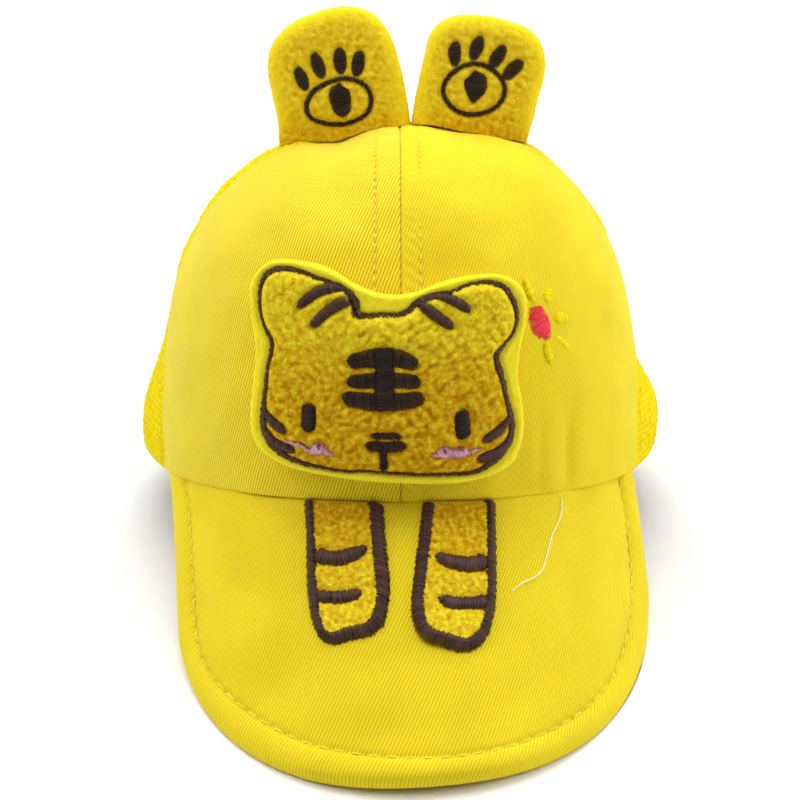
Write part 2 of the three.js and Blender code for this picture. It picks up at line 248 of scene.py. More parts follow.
# %% From grids to meshes
def ring_normals(points):
    """Unit normals of a grid that closes round its columns: the cross product of its slopes both ways."""
    wide = np.concatenate([points[:, -1:], points, points[:, :1]], 1)
    across = (wide[:, 2:] - wide[:, :-2]) / 2
    return unit(np.cross(across, np.gradient(points, axis=0)))


def new_piece(name, points, faces, material, cut=None, tones=None):
    """A mesh piece from points in the cap's frame and faces of equal corners. Faces turned inwards, which a
    negative volume shows, are turned round. cut is each point's place in the flat cloth, in mm, as its UV
    map."""
    placed = set_down(points.reshape(-1, 3))
    a, b, c = (placed[faces[:, i]] for i in (0, 1, 2))
    volume = (a * np.cross(b, c)).sum()
    if faces.shape[1] == 4:
        volume += (a * np.cross(c, placed[faces[:, 3]])).sum()
    if volume < 0:
        faces = faces[:, ::-1]
    corners = faces.shape[1]
    mesh = bpy.data.meshes.new(name)
    mesh.vertices.add(len(placed))
    mesh.vertices.foreach_set("co", placed.astype(np.float32).ravel())
    mesh.loops.add(faces.size)
    mesh.loops.foreach_set("vertex_index", faces.astype(np.int32).ravel())
    mesh.polygons.add(len(faces))
    mesh.polygons.foreach_set("loop_start", np.arange(0, faces.size, corners, dtype=np.int32))
    mesh.polygons.foreach_set("use_smooth", np.ones(len(faces), bool))
    mesh.update(calc_edges=True)
    if cut is not None:
        layer = mesh.uv_layers.new(name="cut")
        layer.data.foreach_set("uv", cut.reshape(-1, 2)[faces.ravel()].astype(np.float32).ravel())
    for attribute, values in (tones or {}).items():
        made = mesh.attributes.new(attribute, "FLOAT", "POINT")
        made.data.foreach_set("value", np.asarray(values, np.float32).ravel())
    mesh.materials.append(material)
    piece = bpy.data.objects.new(name, mesh)
    bpy.context.scene.collection.objects.link(piece)
    print(name, "has", len(faces) * (corners - 2), "triangles")
    return piece


def wall_faces(rows, columns):
    """The faces of a wall between two grids: each grid's squares, and a strip round the border."""
    index = np.arange(rows * columns).reshape(rows, columns)
    squares = np.stack([index[:-1, :-1], index[:-1, 1:], index[1:, 1:], index[1:, :-1]], -1).reshape(-1, 4)
    border = np.concatenate([index[0, :-1], index[:-1, -1], index[-1, :0:-1], index[:0:-1, 0]])
    after, under = np.roll(border, -1), rows * columns
    strip = np.stack([after, border, border + under, after + under], -1)
    return np.concatenate([squares, squares[:, ::-1] + under, strip])


def lengths_along(points, axis):
    """The running length along one way of a grid of points."""
    steps = np.linalg.norm(np.diff(points, axis=axis), axis=-1)
    start = np.zeros_like(np.take(steps, [0], axis))
    return np.concatenate([start, np.cumsum(steps, axis)], axis)


def waves(across, along, size, seed, count=14, spread=0.35):
    """Soft irregular waves: a sum of sine waves of about one length, in seeded random directions and
    phases."""
    random = np.random.default_rng(seed)
    turns, phases = random.uniform(0, 2 * np.pi, (2, count))
    lengths = size * random.uniform(1 - spread, 1 + spread, count)
    total = 0
    for turn, phase, length in zip(turns, phases, lengths):
        run = across * np.cos(turn) + along * np.sin(turn)
        total = total + np.sin(run * 2 * np.pi / length + phase)
    return total / math.sqrt(count / 2)


print("a wall of 3 by 4 points has", len(wall_faces(3, 4)), "faces")

# %% [markdown]
# Smooth outlines run through the same points as the solids', by the same curve.


# %% Paths on cloth
def smooth_path(points, closed, step):
    """A centripetal Catmull-Rom curve through the points, cut into even steps of about the given length."""
    p = np.asarray(points, float)
    if closed:
        before, first, second, after = np.roll(p, 1, 0), p, np.roll(p, -1, 0), np.roll(p, -2, 0)
    else:
        ext = np.concatenate([[2 * p[0] - p[1]], p, [2 * p[-1] - p[-2]]])
        before, first, second, after = ext[:-3], ext[1:-2], ext[2:-1], ext[3:]
    plane = slice(0, 2)
    d0, d1, d2 = (
        np.maximum(np.linalg.norm((b - a)[:, plane], axis=1), 1e-6)[:, None] ** 0.5
        for a, b in ((before, first), (first, second), (second, after))
    )
    t1 = ((first - before) / d0 - (second - before) / (d0 + d1) + (second - first) / d1) * d1
    t2 = ((second - first) / d1 - (after - first) / (d1 + d2) + (after - second) / d2) * d1
    s = np.linspace(0, 1, 16, endpoint=False)[None, :, None]
    curve = (
        first[:, None] * (2 * s**3 - 3 * s**2 + 1)
        + t1[:, None] * (s**3 - 2 * s**2 + s)
        + second[:, None] * (3 * s**2 - 2 * s**3)
        + t2[:, None] * (s**3 - s**2)
    ).reshape(-1, p.shape[1])
    curve = np.concatenate([curve, curve[:1] if closed else p[-1:]])
    run = lengths_along(curve[:, plane], 0)
    count = max(int(round(run[-1] / step)), 2)
    at = np.linspace(0, run[-1], count + 1)[: count if closed else None]
    return np.stack([np.interp(at, run, curve[:, i]) for i in range(p.shape[1])], -1)


def distance_to_path(points, path, closed):
    """The distance from each point to the nearest of a path's straight pieces, and how far along it that
    is."""
    start = path if closed else path[:-1]
    end = np.roll(path, -1, 0) if closed else path[1:]
    nearest = np.full(points.shape[:-1], np.inf)
    where = np.zeros(points.shape[:-1])
    for i, (a, b) in enumerate(zip(start[:, :2], end[:, :2])):
        way = b - a
        share = np.clip(((points - a) @ way) / max(way @ way, 1e-9), 0, 1)
        away = np.linalg.norm(points - a - share[..., None] * way, axis=-1)
        closer = away < nearest
        nearest = np.where(closer, away, nearest)
        where = np.where(closer, i + share, where)
    return nearest, where


print("a ring through 4 points, in 5 mm steps:", len(smooth_path([(9, 0), (0, 9), (-9, 0),
                                                                  (0, -9)], True, 5)))

# %% [markdown]
# Materials. Each starts from what the real stuff is. One function turns the colours' sRGB hex values to
# Blender's linear ones, and one adds a shader node with its settings and links.


# %% Colours and nodes
def hex_colour(code):
    """sRGB hex to linear: each part over 255, plus 0.055, over 1.055, to the power 2.4."""
    parts = [int(code[i : i + 2], 16) / 255 for i in (1, 3, 5)]
    return [p / 12.92 if p <= 0.04045 else ((p + 0.055) / 1.055) ** 2.4 for p in parts] + [1]


def add(tree, kind, inputs=None, **settings):
    """Add one shader node. inputs maps a socket's name or number to a value or to the socket to link it
    to."""
    node = tree.nodes.new(kind)
    for key, value in settings.items():
        setattr(node, key, value)
    for key, value in (inputs or {}).items():
        if isinstance(value, bpy.types.NodeSocket):
            tree.links.new(value, node.inputs[key])
        else:
            node.inputs[key].default_value = value
    return node


def new_material(name, finish):
    """An empty material with its node tree, and a Principled shader of the given finish joined to the
    output."""
    material = bpy.data.materials.new(name)
    material.use_nodes = True
    tree = material.node_tree
    tree.nodes.clear()
    shader = add(tree, "ShaderNodeBsdfPrincipled", finish)
    add(tree, "ShaderNodeOutputMaterial", {"Surface": shader.outputs["BSDF"]})
    return material, tree, shader


print("the twill's yellow in linear light:", [round(part, 3) for part in hex_colour("#F2E020")])

# %% [markdown]
# Cotton twill: yarn-dyed cotton woven with a diagonal rib, matte, with the faint bloom of cotton fibre. The
# real ribs are about half a millimetre apart; the photograph shows them nearer to one, so they are drawn at
# that.

# %% Cotton twill
RIB_HEIGHT, RIB_MIDDLE, PAINTED_SHEEN_LEVEL = 0.16, 0.62, 0.8
WAVE_PERIOD = math.pi / 10


def cotton_twill(name, angle, pitch, depth, bloom):
    """Diagonal ribs across the cut cloth at an angle and a pitch in mm, each a broad ridge with a narrow
    valley beside it. depth says how strongly they stand out, round a middle tone that stays. The weft breaks
    them up a little, and slubs and wear make the cloth uneven. A painted sheen, set by an attribute, fades
    the ribs to a lighter, even tone where the cloth turns away from the front. The cloth is painted darker
    where the shade attribute is, as painted shade in the stitch channel and its needle holes. bloom is the
    weight of its loose fibres' pale sheen."""
    material, tree, shader = new_material(name, {
        "Roughness": 0.8,
        "Specular IOR Level": 0.15,
        "Sheen Weight": bloom,
        "Sheen Roughness": 0.5,
        "Sheen Tint": hex_colour("#FFF8B4"),
    })
    cloth = add(tree, "ShaderNodeUVMap", uv_map="cut").outputs[0]
    turn = (0, 0, math.radians(90 - angle))
    grain = add(tree, "ShaderNodeMapping", {"Vector": cloth, "Rotation": turn}).outputs[0]
    ribs = add(
        tree,
        "ShaderNodeTexWave",
        {"Vector": grain, "Scale": WAVE_PERIOD / pitch, "Distortion": 0.9, "Detail": 2, "Detail Scale": 0.6},
        bands_direction="X",
    ).outputs["Fac"]
    ridge = add(
        tree,
        "ShaderNodeMapRange",
        {"Value": ribs, "From Min": 0.0, "From Max": 0.6},
        interpolation_type="SMOOTHSTEP",
    ).outputs[0]
    slub = add(tree, "ShaderNodeTexNoise", {"Vector": cloth, "Scale": 1.4, "Detail": 3}).outputs["Fac"]
    worn = add(tree, "ShaderNodeTexNoise", {"Vector": cloth, "Scale": 0.05, "Detail": 2}).outputs["Fac"]
    height = add(tree, "ShaderNodeMath", {0: slub, 1: 0.35, 2: ridge}, operation="MULTIPLY_ADD").outputs[0]
    lowest, highest = RIB_MIDDLE * (1 - depth), RIB_MIDDLE + depth * (1 - RIB_MIDDLE)
    level = add(
        tree,
        "ShaderNodeMapRange",
        {"Value": height, "From Min": 0.1, "From Max": 1.15, "To Min": lowest, "To Max": highest},
    ).outputs[0]
    # Painted sheen: the ribs fade to a lighter, even tone where the cloth turns away from the front.
    painted_sheen = add(tree, "ShaderNodeAttribute", attribute_name="painted_sheen").outputs["Fac"]
    seen = add(
        tree,
        "ShaderNodeMix",
        {"Factor": painted_sheen, "A": level, "B": PAINTED_SHEEN_LEVEL},
        data_type="FLOAT",
    ).outputs["Result"]
    ramp = add(
        tree,
        "ShaderNodeMix",
        {"Factor": seen, "A": hex_colour("#CFA60C"), "B": hex_colour("#F2E020")},
        data_type="RGBA",
    ).outputs["Result"]
    tone = add(
        tree,
        "ShaderNodeMapRange",
        {"Value": worn, "From Min": 0.3, "From Max": 0.7, "To Min": 0.95, "To Max": 1.04},
    ).outputs[0]
    # Painted shade in the stitch channel and its needle holes.
    shade = add(tree, "ShaderNodeAttribute", attribute_name="shade").outputs["Fac"]
    light = add(tree, "ShaderNodeMath", {0: shade, 1: -0.6, 2: tone}, operation="MULTIPLY_ADD").outputs[0]
    colour = add(tree, "ShaderNodeVectorMath", {0: ramp, "Scale": light}, operation="SCALE").outputs[0]
    tree.links.new(colour, shader.inputs["Base Color"])
    relief = {"Height": height, "Strength": 0.6 * depth, "Distance": RIB_HEIGHT * MM}
    bump = add(tree, "ShaderNodeBump", relief)
    tree.links.new(bump.outputs[0], shader.inputs["Normal"])
    return material


twill_left = cotton_twill("woven cotton twill, left cut", 71, 0.9, 1.1, 0.32)
twill_right = cotton_twill("woven cotton twill, right cut", 71, 0.88, 0.6, 0.1)
twill_brim = cotton_twill("woven cotton twill, brim cut", 115, 0.92, 0.62, 0.1)
print("twills:", twill_left.name, "/", twill_right.name, "/", twill_brim.name)

# %% [markdown]
# Plush mesh: a knitted spacer mesh with a brushed, slightly fuzzy face, brighter and more lemon than the
# twill. The knit's cells are about 2 mm apart.

# %% Plush mesh
KNIT_CELL, KNIT_DEPTH = 2.0, 0.35


def knitted_mesh(name):
    """Rounded cells from a Voronoi pattern of the knit's spacing, with fine fuzz over them."""
    material, tree, shader = new_material(name, {
        "Roughness": 0.95,
        "Specular IOR Level": 0.1,
        "Sheen Weight": 0.35,
        "Sheen Roughness": 0.4,
        "Sheen Tint": hex_colour("#FFEE20"),
    })
    cloth = add(tree, "ShaderNodeUVMap", uv_map="cut").outputs[0]
    knit = {"Vector": cloth, "Scale": 1 / KNIT_CELL, "Randomness": 0.35}
    cells = add(tree, "ShaderNodeTexVoronoi", knit).outputs[0]
    fibre = {"Vector": cloth, "Scale": 1.6, "Detail": 4, "Roughness": 0.7}
    fuzz = add(tree, "ShaderNodeTexNoise", fibre).outputs["Fac"]
    puff = add(
        tree,
        "ShaderNodeMapRange",
        {"Value": cells, "From Min": 0.1, "From Max": 0.75, "To Min": 1, "To Max": 0},
    ).outputs[0]
    height = add(tree, "ShaderNodeMath", {0: fuzz, 1: 0.5, 2: puff}, operation="MULTIPLY_ADD").outputs[0]
    colour = add(
        tree,
        "ShaderNodeMix",
        {"Factor": height, "A": hex_colour("#D8B000"), "B": hex_colour("#F4DF06")},
        data_type="RGBA",
    )
    tree.links.new(colour.outputs["Result"], shader.inputs["Base Color"])
    bump = add(tree, "ShaderNodeBump", {"Height": height, "Strength": 0.8, "Distance": KNIT_DEPTH * MM})
    tree.links.new(bump.outputs[0], shader.inputs["Normal"])
    return material


plush_mesh = knitted_mesh("brushed spacer mesh")
print("mesh:", plush_mesh.name, "with cells of", KNIT_CELL, "mm")

# %% [markdown]
# Mustard fleece: brushed polyester pile in small matted clumps. Its lemon edges are a painted glow: a lit
# lemon colour is mixed in by the edges, standing in for light that goes into the pile and comes out there,
# while the face stays mustard. The attribute tone is high on a clump's crown, which paints light on the
# crowns and shade between them, and it also carries each pad's painted light and shade.

# %% Mustard fleece
# Noise cells to a metre that bend the granules and that make the fuzz, and how far they bend them, in metres
BENDS, FUZZ, BEND_REACH = 600, 2200, 0.0012


def brushed_fleece(name, grain, dark, light, lit, contrast, rough):
    """Granules of a size in mm from a smooth Voronoi pattern, with fuzz over them. The colour goes from dark
    to light by the granules and the tone attribute: painted shade between the granules and painted light on
    their crowns. It goes to its lit colour where glow is high, as a painted glow."""
    material, tree, shader = new_material(name, {
        "Roughness": 1,
        "Specular IOR Level": 0.05,
        "Sheen Weight": 0.8,
        "Sheen Roughness": 0.5,
        "Sheen Tint": hex_colour("#FFE41C"),
    })
    place = add(tree, "ShaderNodeTexCoord").outputs["Object"]
    tone = add(tree, "ShaderNodeAttribute", attribute_name="tone").outputs["Fac"]
    painted_glow = add(tree, "ShaderNodeAttribute", attribute_name="painted_glow").outputs["Fac"]
    bent = add(tree, "ShaderNodeTexNoise", {"Vector": place, "Scale": BENDS, "Detail": 2}).outputs["Color"]
    moved = add(
        tree,
        "ShaderNodeVectorMath",
        {0: bent, 1: (BEND_REACH,) * 3, 2: place},
        operation="MULTIPLY_ADD",
    ).outputs[0]
    cells = add(
        tree,
        "ShaderNodeTexVoronoi",
        {"Vector": moved, "Scale": 1 / (grain * MM), "Smoothness": 0.5},
        feature="SMOOTH_F1",
    ).outputs["Distance"]
    puff = add(
        tree,
        "ShaderNodeMapRange",
        {"Value": cells, "From Min": 0.1, "From Max": 0.65, "To Min": 1, "To Max": 0},
    ).outputs[0]
    fibre = {"Vector": place, "Scale": FUZZ, "Detail": 3, "Roughness": 0.6}
    fuzz = add(tree, "ShaderNodeTexNoise", fibre).outputs["Fac"]
    height = add(tree, "ShaderNodeMath", {0: fuzz, 1: 0.5, 2: puff}, operation="MULTIPLY_ADD").outputs[0]
    parts = {0: height, 1: contrast, 2: tone}
    mixed = add(tree, "ShaderNodeMath", parts, operation="MULTIPLY_ADD").outputs[0]
    level = add(
        tree,
        "ShaderNodeMapRange",
        {"Value": mixed, "From Min": contrast * 0.75 - 0.05, "From Max": contrast * 0.75 + 1.05},
    ).outputs[0]
    shades = {"Factor": level, "A": hex_colour(dark), "B": hex_colour(light)}
    body = add(tree, "ShaderNodeMix", shades, data_type="RGBA").outputs["Result"]
    # Painted glow: the lit lemon colour mixed in towards the pads' edges.
    colour = add(tree, "ShaderNodeMix", {"Factor": painted_glow, "A": body, "B": hex_colour(lit)}, data_type="RGBA")
    tree.links.new(colour.outputs["Result"], shader.inputs["Base Color"])
    relief = add(tree, "ShaderNodeMapRange", {"Value": painted_glow, "To Min": rough, "To Max": 0.15}).outputs[0]
    bump = add(tree, "ShaderNodeBump", {"Height": height, "Strength": relief, "Distance": grain * 0.3 * MM})
    tree.links.new(bump.outputs[0], shader.inputs["Normal"])
    return material


head_fleece = brushed_fleece("brushed mustard fleece, head", 1.2, "#CA8E08", "#FFEC30", "#FFEE34", 0.5, 0.4)
paw_fleece = brushed_fleece("brushed mustard fleece, paws", 1.1, "#E0A60E", "#FFEE38", "#FFE428", 0.34, 0.3)
leg_fleece = brushed_fleece("brushed mustard fleece, legs", 1.2, "#C68E08", "#FCEA32", "#FFF030", 0.42, 0.35)
print("fleeces:", head_fleece.name, "/", paw_fleece.name, "/", leg_fleece.name)

# %% [markdown]
# Embroidery thread: bright rayon or polyester. Its filaments lie side by side along the stitch, which gives
# it a soft satin gloss. Sewing thread is the same, less shiny.


# %% Threads
def embroidery_thread(name, dark, light, rough, sheen):
    """A satin thread, a little lighter and darker from stitch to stitch by the tone attribute."""
    material, tree, shader = new_material(name, {"Roughness": rough, "Specular IOR Level": sheen})
    tone = add(tree, "ShaderNodeAttribute", attribute_name="tone").outputs["Fac"]
    shades = {"Factor": tone, "A": hex_colour(dark), "B": hex_colour(light)}
    colour = add(tree, "ShaderNodeMix", shades, data_type="RGBA")
    tree.links.new(colour.outputs["Result"], shader.inputs["Base Color"])
    return material


brown_thread = embroidery_thread("brown satin embroidery thread", "#2C1811", "#603E35", 0.42, 0.3)
dark_thread = embroidery_thread("dark brown embroidery thread", "#1B0F0B", "#3A2822", 0.5, 0.2)
pale_thread = embroidery_thread("pale yellow sewing thread", "#E2CC2C", "#F5E55C", 0.6, 0.2)
white_thread = embroidery_thread("white sewing thread", "#F0E6A0", "#FFFCE4", 0.6, 0.2)
lemon_thread = embroidery_thread("lemon satin embroidery thread", "#F0D400", "#FFF000", 0.5, 0.1)
red_thread = embroidery_thread("red satin embroidery thread", "#D21430", "#FF4058", 0.5, 0.25)
pink_thread = embroidery_thread("pink satin embroidery thread", "#CC86A4", "#F8C8DC", 0.42, 0.35)
plum_thread = embroidery_thread("plum embroidery thread", "#6E343C", "#9A5A5A", 0.5, 0.2)
print("materials so far:", len(bpy.data.materials))

# %% [markdown]
# The crown is sewn from six flat panels. Between two seams each is a grid of the crown's surface. The cloth
# turns in at its seams, which leaves a fine groove, and its lower edge is folded under, which makes it round.

# %% Crown panels
SEAM_SWING, SEAM_GAP, SEAM_ROUND, HEM_ROUND = 0.28, 0.02, 0.6, 1.0
SEAM_DEEPEST, CALM_SEAM, CALM_HEM, CUT_FILL = CROWN_WALL - 0.9, 1.2, 2, 0.95
ROW_CROWD, ROW_POWER, COLUMN_CROWD, HIGHEST_SLOPE = 0.8, 1.25, 0.85, 0.985
# How strong the painted sheen is, which fades the ribs to a lighter tone where the cloth turns away from the
# front, and from where to where: azimuth at the sides, rise at the top
PAINTED_SHEEN_ROUND, PAINTED_SHEEN_TOP = (0.8, 36, 82), (0.7, 0.62, 1)
# Each seam's azimuth at the rim and higher up
SEAMS = {
    "centre": (0, 0),
    "left": (-71, -80),
    "right": (71, 87),
    "rear_left": (-123, -123),
    "rear_right": (123, 123),
    "back_left": (-180, -180),
    "back_right": (180, 180),
}
TOP_RISE = 1 - (2 / math.pi) * math.asin((TOP_GAP / RIM_SIDE) ** (SQUARE_SIDE / 2))


def seam_azimuth(seam, rise):
    """A seam runs from its azimuth at the rim to its upper one, over the lowest part of the crown."""
    rim, upper = SEAMS[seam]
    return rim + (upper - rim) * ease(rise, 0, SEAM_SWING)


def turned_in(distance, radius):
    """How far cloth is below its face at a distance from an edge that is rounded with a radius."""
    inside = np.clip(radius - distance, 0, radius)
    return radius - np.sqrt(np.clip(radius**2 - inside**2, 0, None))


def crown_panel(name, first, last, columns, rows, material, relief, from_first):
    """A wall of cloth between two seams, on a grid that crowds towards the seams and the hem. relief gives
    the fine height of the face from the place in the cut, which is measured from the first seam or from the
    last."""
    step = np.linspace(0, 1, rows + 1)
    step = step - ROW_CROWD * step * (1 - step) ** 2
    rise = (TOP_RISE * step**ROW_POWER)[:, None]
    share = np.linspace(0, 1, columns + 1)
    share = share - COLUMN_CROWD * np.sin(2 * np.pi * share) / (2 * np.pi)
    reach = np.linalg.norm(crown_point(SEAMS[last][0], rise)[..., :2], axis=-1)
    gap = np.degrees(SEAM_GAP / np.maximum(reach, TOP_GAP))
    start, end = seam_azimuth(first, rise) + gap, seam_azimuth(last, rise) - gap
    azimuth = start + (end - start) * share
    rise = rise + 0 * azimuth
    face = crown_point(azimuth, rise)
    normal = crown_normal(azimuth, rise, HIGHEST_SLOPE)
    across, along = lengths_along(face, 1), lengths_along(face, 0)
    to_last = across[:, -1:] - across
    hem = turned_in(along, HEM_ROUND)
    seam = turned_in(across, SEAM_ROUND) + turned_in(to_last, SEAM_ROUND)
    cut = np.stack([across if from_first else -to_last, along], -1)
    lift = relief(cut[..., 0], cut[..., 1], azimuth, rise)
    lift = lift * ease(np.minimum(across, to_last), 0, CALM_SEAM) * ease(along, 0, CALM_HEM)
    outer = face + normal * (lift - np.minimum(seam, SEAM_DEEPEST) - hem)[..., None]
    inner = face - normal * (CROWN_WALL - hem)[..., None]
    points = np.concatenate([outer.reshape(-1, 3), inner.reshape(-1, 3)])
    # Painted sheen at the sides and the top, where the cloth turns away from the front.
    at_sides = PAINTED_SHEEN_ROUND[0] * ease(np.abs(azimuth), *PAINTED_SHEEN_ROUND[1:])
    at_top = PAINTED_SHEEN_TOP[0] * ease(rise, *PAINTED_SHEEN_TOP[1:])
    painted_sheen = np.maximum(at_sides, at_top)
    piece = new_piece(name + "_cloth", points, wall_faces(*azimuth.shape), material,
                      np.concatenate([cut, cut]).reshape(-1, 2), {"painted_sheen": np.tile(painted_sheen.ravel(), 2)})
    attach(piece, "root")
    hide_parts(name)


STITCH_LINES = (-7.2, 5.4)


def twill_relief(across, along, azimuth, rise):
    """Cloth's own soft waves, the seam allowance under the band between the stitch rows, channels under them,
    puckers beside the seam, and two small tucks over the hem."""
    soft = 0.3 * waves(across, along, 42, 11) + 0.07 * waves(across, along, 15, 12)
    left, right = STITCH_LINES
    band = 0.3 * ease(across, left - 0.6, left + 0.8) * (1 - ease(across, right - 0.8, right + 0.6))
    channel = 0.22 * sum(bell(across, line, 0.7) for line in STITCH_LINES)
    slant = np.sin((along + 0.7 * across) * 2 * np.pi / 3.4 + 1.2 * np.sin(along / 7))
    pucker = slant * (0.2 * bell(across, 2.9, 2.0) + 0.06 * bell(across, -3.6, 2.6))
    tucks = (0.9 * bell(azimuth, 40.5, 1.0) + 0.5 * bell(azimuth, 32, 1.3)) * bell(rise, 0.05, 0.045)
    return soft + band - channel + pucker - tucks


def mesh_relief(across, along, azimuth, rise):
    """The stretchy mesh lies in broader waves, with a fine knobbly face. Beside the right seam it is drawn in
    higher up and stands out more over the rim."""
    drawn_in = 1.1 * bell(rise, 0.13, 0.06) + bell(rise, 0.28, 0.1)
    beside = bell(azimuth, SWELL_AT, SWELL_WIDE) * (1.3 * bell(rise, 0.04, 0.04) - drawn_in)
    return beside + 0.35 * waves(across, along, 34, 21) + 0.14 * waves(across, along, 3.0, 22, 24)


crown_panel("crown_front_left", "left", "centre", 116, 146, twill_left, twill_relief, False)
crown_panel("crown_front_right", "centre", "right", 124, 146, twill_right, twill_relief, True)
for name, first, last in (
    ("mesh_side_left", "rear_left", "left"),
    ("mesh_side_right", "right", "rear_right"),
    ("mesh_back_left", "back_left", "rear_left"),
    ("mesh_back_right", "rear_right", "back_right"),
):
    crown_panel(name, first, last, 72, 124, plush_mesh, mesh_relief, True)

# %% [markdown]
# The brim is two layers of twill over soft foam, bent like a gutter. As a sheet it is flat: it starts along
# the rim's front and runs straight out and down, so each point has a place across and out on that sheet. A
# row of topstitching holds the layers together some 9 mm inside the edge, and the band outside it puffs up.

# %% The brim's sheet
BRIM_SLOPE, BRIM_YAW = math.radians(44.6), math.radians(2.7)
BRIM_LENGTH, BRIM_LEFT, BRIM_RIGHT, BRIM_SQUARE = 81.2, 92.8, 110, 2.86
BRIM_TURN, BRIM_ENDS, BRIM_REACH = math.radians(2.8), 0.32, 0.995
BRIM_THICK, BRIM_UNDER, BRIM_EDGE, BRIM_FEEL = 4, 0.5, 2.2, 4
ROOT_ARC = rim_point(np.linspace(-ARCH_END, ARCH_END, 45))
ROOT_ARC[:, 2] = arch_rise(np.linspace(-ARCH_END, ARCH_END, 45))
ROOT_RUN = lengths_along(ROOT_ARC, 0)
ROOT_HALF = ROOT_RUN[-1] / 2
BRIM_WAY = np.array([
    math.sin(BRIM_YAW) * math.cos(BRIM_SLOPE),
    -math.cos(BRIM_YAW) * math.cos(BRIM_SLOPE),
    -math.sin(BRIM_SLOPE),
])


def root_point(across):
    """The brim's root at a length from its middle: along the rim's arc, and straight on past its ends."""
    run = np.asarray(across, float) + ROOT_HALF
    point = np.stack([np.interp(run, ROOT_RUN, ROOT_ARC[:, i]) for i in range(3)], -1)
    first = (ROOT_ARC[1] - ROOT_ARC[0]) / ROOT_RUN[1]
    last = (ROOT_ARC[-1] - ROOT_ARC[-2]) / (ROOT_RUN[-1] - ROOT_RUN[-2])
    under, over = np.minimum(run, 0)[..., None], np.maximum(run - ROOT_RUN[-1], 0)[..., None]
    return point + first * under + last * over


def sheet_point(across, out):
    """The root's point, moved out along the one direction in which the sheet is straight."""
    return root_point(across) + np.asarray(out)[..., None] * BRIM_WAY


def sheet_normal(across, out):
    """The sheet's unit normal, upwards, felt over a few millimetres so that the arc's steps don't show."""
    along_root = root_point(across + BRIM_FEEL) - root_point(across - BRIM_FEEL)
    return unit(np.cross(BRIM_WAY, along_root))


def brim_edge(share):
    """The outer edge: a squared ellipse, turned a little, whose ends run in to the root's ends."""
    angle = share * np.pi / 2
    half = np.where(share > 0, BRIM_RIGHT, BRIM_LEFT)
    across = half * np.sign(share) * np.abs(np.sin(angle)) ** (2 / BRIM_SQUARE)
    out = BRIM_LENGTH * np.abs(np.cos(angle)) ** (2 / BRIM_SQUARE)
    c, s = math.cos(BRIM_TURN), math.sin(BRIM_TURN)
    across, out = across * c + out * s, out * c - across * s
    join = np.clip((1 - np.abs(share)) / BRIM_ENDS, 0, 1) ** 0.5
    start = share * ROOT_HALF
    return np.stack([start + (across - start) * join, out * join], -1)


# %% The brim's cloth
BRIM_STITCHES = smooth_path(
    [(-79, 0), (-75.8, 15.8), (-73.3, 31), (-71.5, 45), (-68, 53.6), (-58.3, 60.6), (-42.3, 67.5),
     (-26.9, 71.9), (-3.1, 74), (16.8, 73.5), (35.3, 70.7), (53.6, 65.6), (67.3, 58.6), (78.2, 48.6),
     (85.2, 35.4), (87, 21.8), (85.2, 7.8), (84.6, 0)],
    False, 4.6,
)
BAND_PUFF, CHANNEL_DEEP = 1.6, 0.4


def outside_stitches(place):
    """True where a place of the sheet is between the stitching and the edge: further out than the path
    there."""
    angle = np.arctan2(BRIM_STITCHES[:, 0], BRIM_STITCHES[:, 1])
    turn = np.arctan2(place[..., 0], place[..., 1])
    reach = np.interp(turn, angle, np.linalg.norm(BRIM_STITCHES, axis=1))
    return np.linalg.norm(place, axis=-1) > reach


def brim_relief(place, edge_distance):
    """Over the sheet: the band between the edge and the stitching is a soft roll, a squashed half circle of
    the share of the way across it. The stitches pull a channel, with a needle hole at each end, and small
    puckers run off it. Returns the height, and the painted shade of the channel and its holes."""
    away, where = distance_to_path(place, BRIM_STITCHES, False)
    share = edge_distance / np.maximum(edge_distance + away, 0.1)
    roll = np.clip(1 - (2 * share - 1) ** 2, 0, None) ** 0.85 * outside_stitches(place)
    pucker = np.cos(where * 2 * np.pi) * bell(away, 1.4, 1.6)
    hole = np.clip(np.cos(where * 2 * np.pi), 0, 1) ** 5 * bell(away, 0, 0.5)
    soft = waves(place[..., 0], place[..., 1], 30, 31) * ease(edge_distance, 8, 20)
    relief = BAND_PUFF * roll - CHANNEL_DEEP * bell(away, 0, 0.9) + 0.14 * pucker - 0.2 * hole + 0.25 * soft
    return relief, 0.1 * bell(away, 0, 0.7) + 0.5 * hole


# %% [markdown]
# The piece is a grid of the sheet from the root, tucked in under the crown's hem, to the edge. Its rows crowd
# towards the edge, where the two layers close in a round.

# %% The brim's piece
BRIM_COLUMNS, BRIM_ROWS, BRIM_CROWD, BRIM_START = 290, 82, 0.82, 0.002
TUCKED_IN, THINNEST, LOWER_RELIEF, BRIM_PAINTED_SHEEN = 1.8, 0.06, 0.4, (0.5, 50, 105)
share = np.linspace(-1, 1, BRIM_COLUMNS + 1)[None, :] * BRIM_REACH
step = np.linspace(0, 1, BRIM_ROWS + 1)[:, None]
step = BRIM_START + (1 - BRIM_START) * (1 - (1 - step) * (1 - BRIM_CROWD * step**2))
edge = brim_edge(share)
start = share * ROOT_HALF
under_hem = TUCKED_IN * (1 - ease(step, 0, 0.03))
place = np.stack([start + (edge[..., 0] - start) * step, edge[..., 1] * step - under_hem], -1)
edge_path = brim_edge(np.linspace(-BRIM_REACH, BRIM_REACH, 400))
edge_distance, _ = distance_to_path(place, edge_path, False)
side = np.clip(edge_distance / BRIM_EDGE, 0, 1)
half_thick = BRIM_THICK / 2 * np.maximum(np.sqrt(1 - (1 - side) ** 2), THINNEST)
normal = sheet_normal(place[..., 0], place[..., 1])
middle = sheet_point(place[..., 0], place[..., 1]) - normal * (BRIM_UNDER + BRIM_THICK / 2)
relief, channel = brim_relief(place, edge_distance)
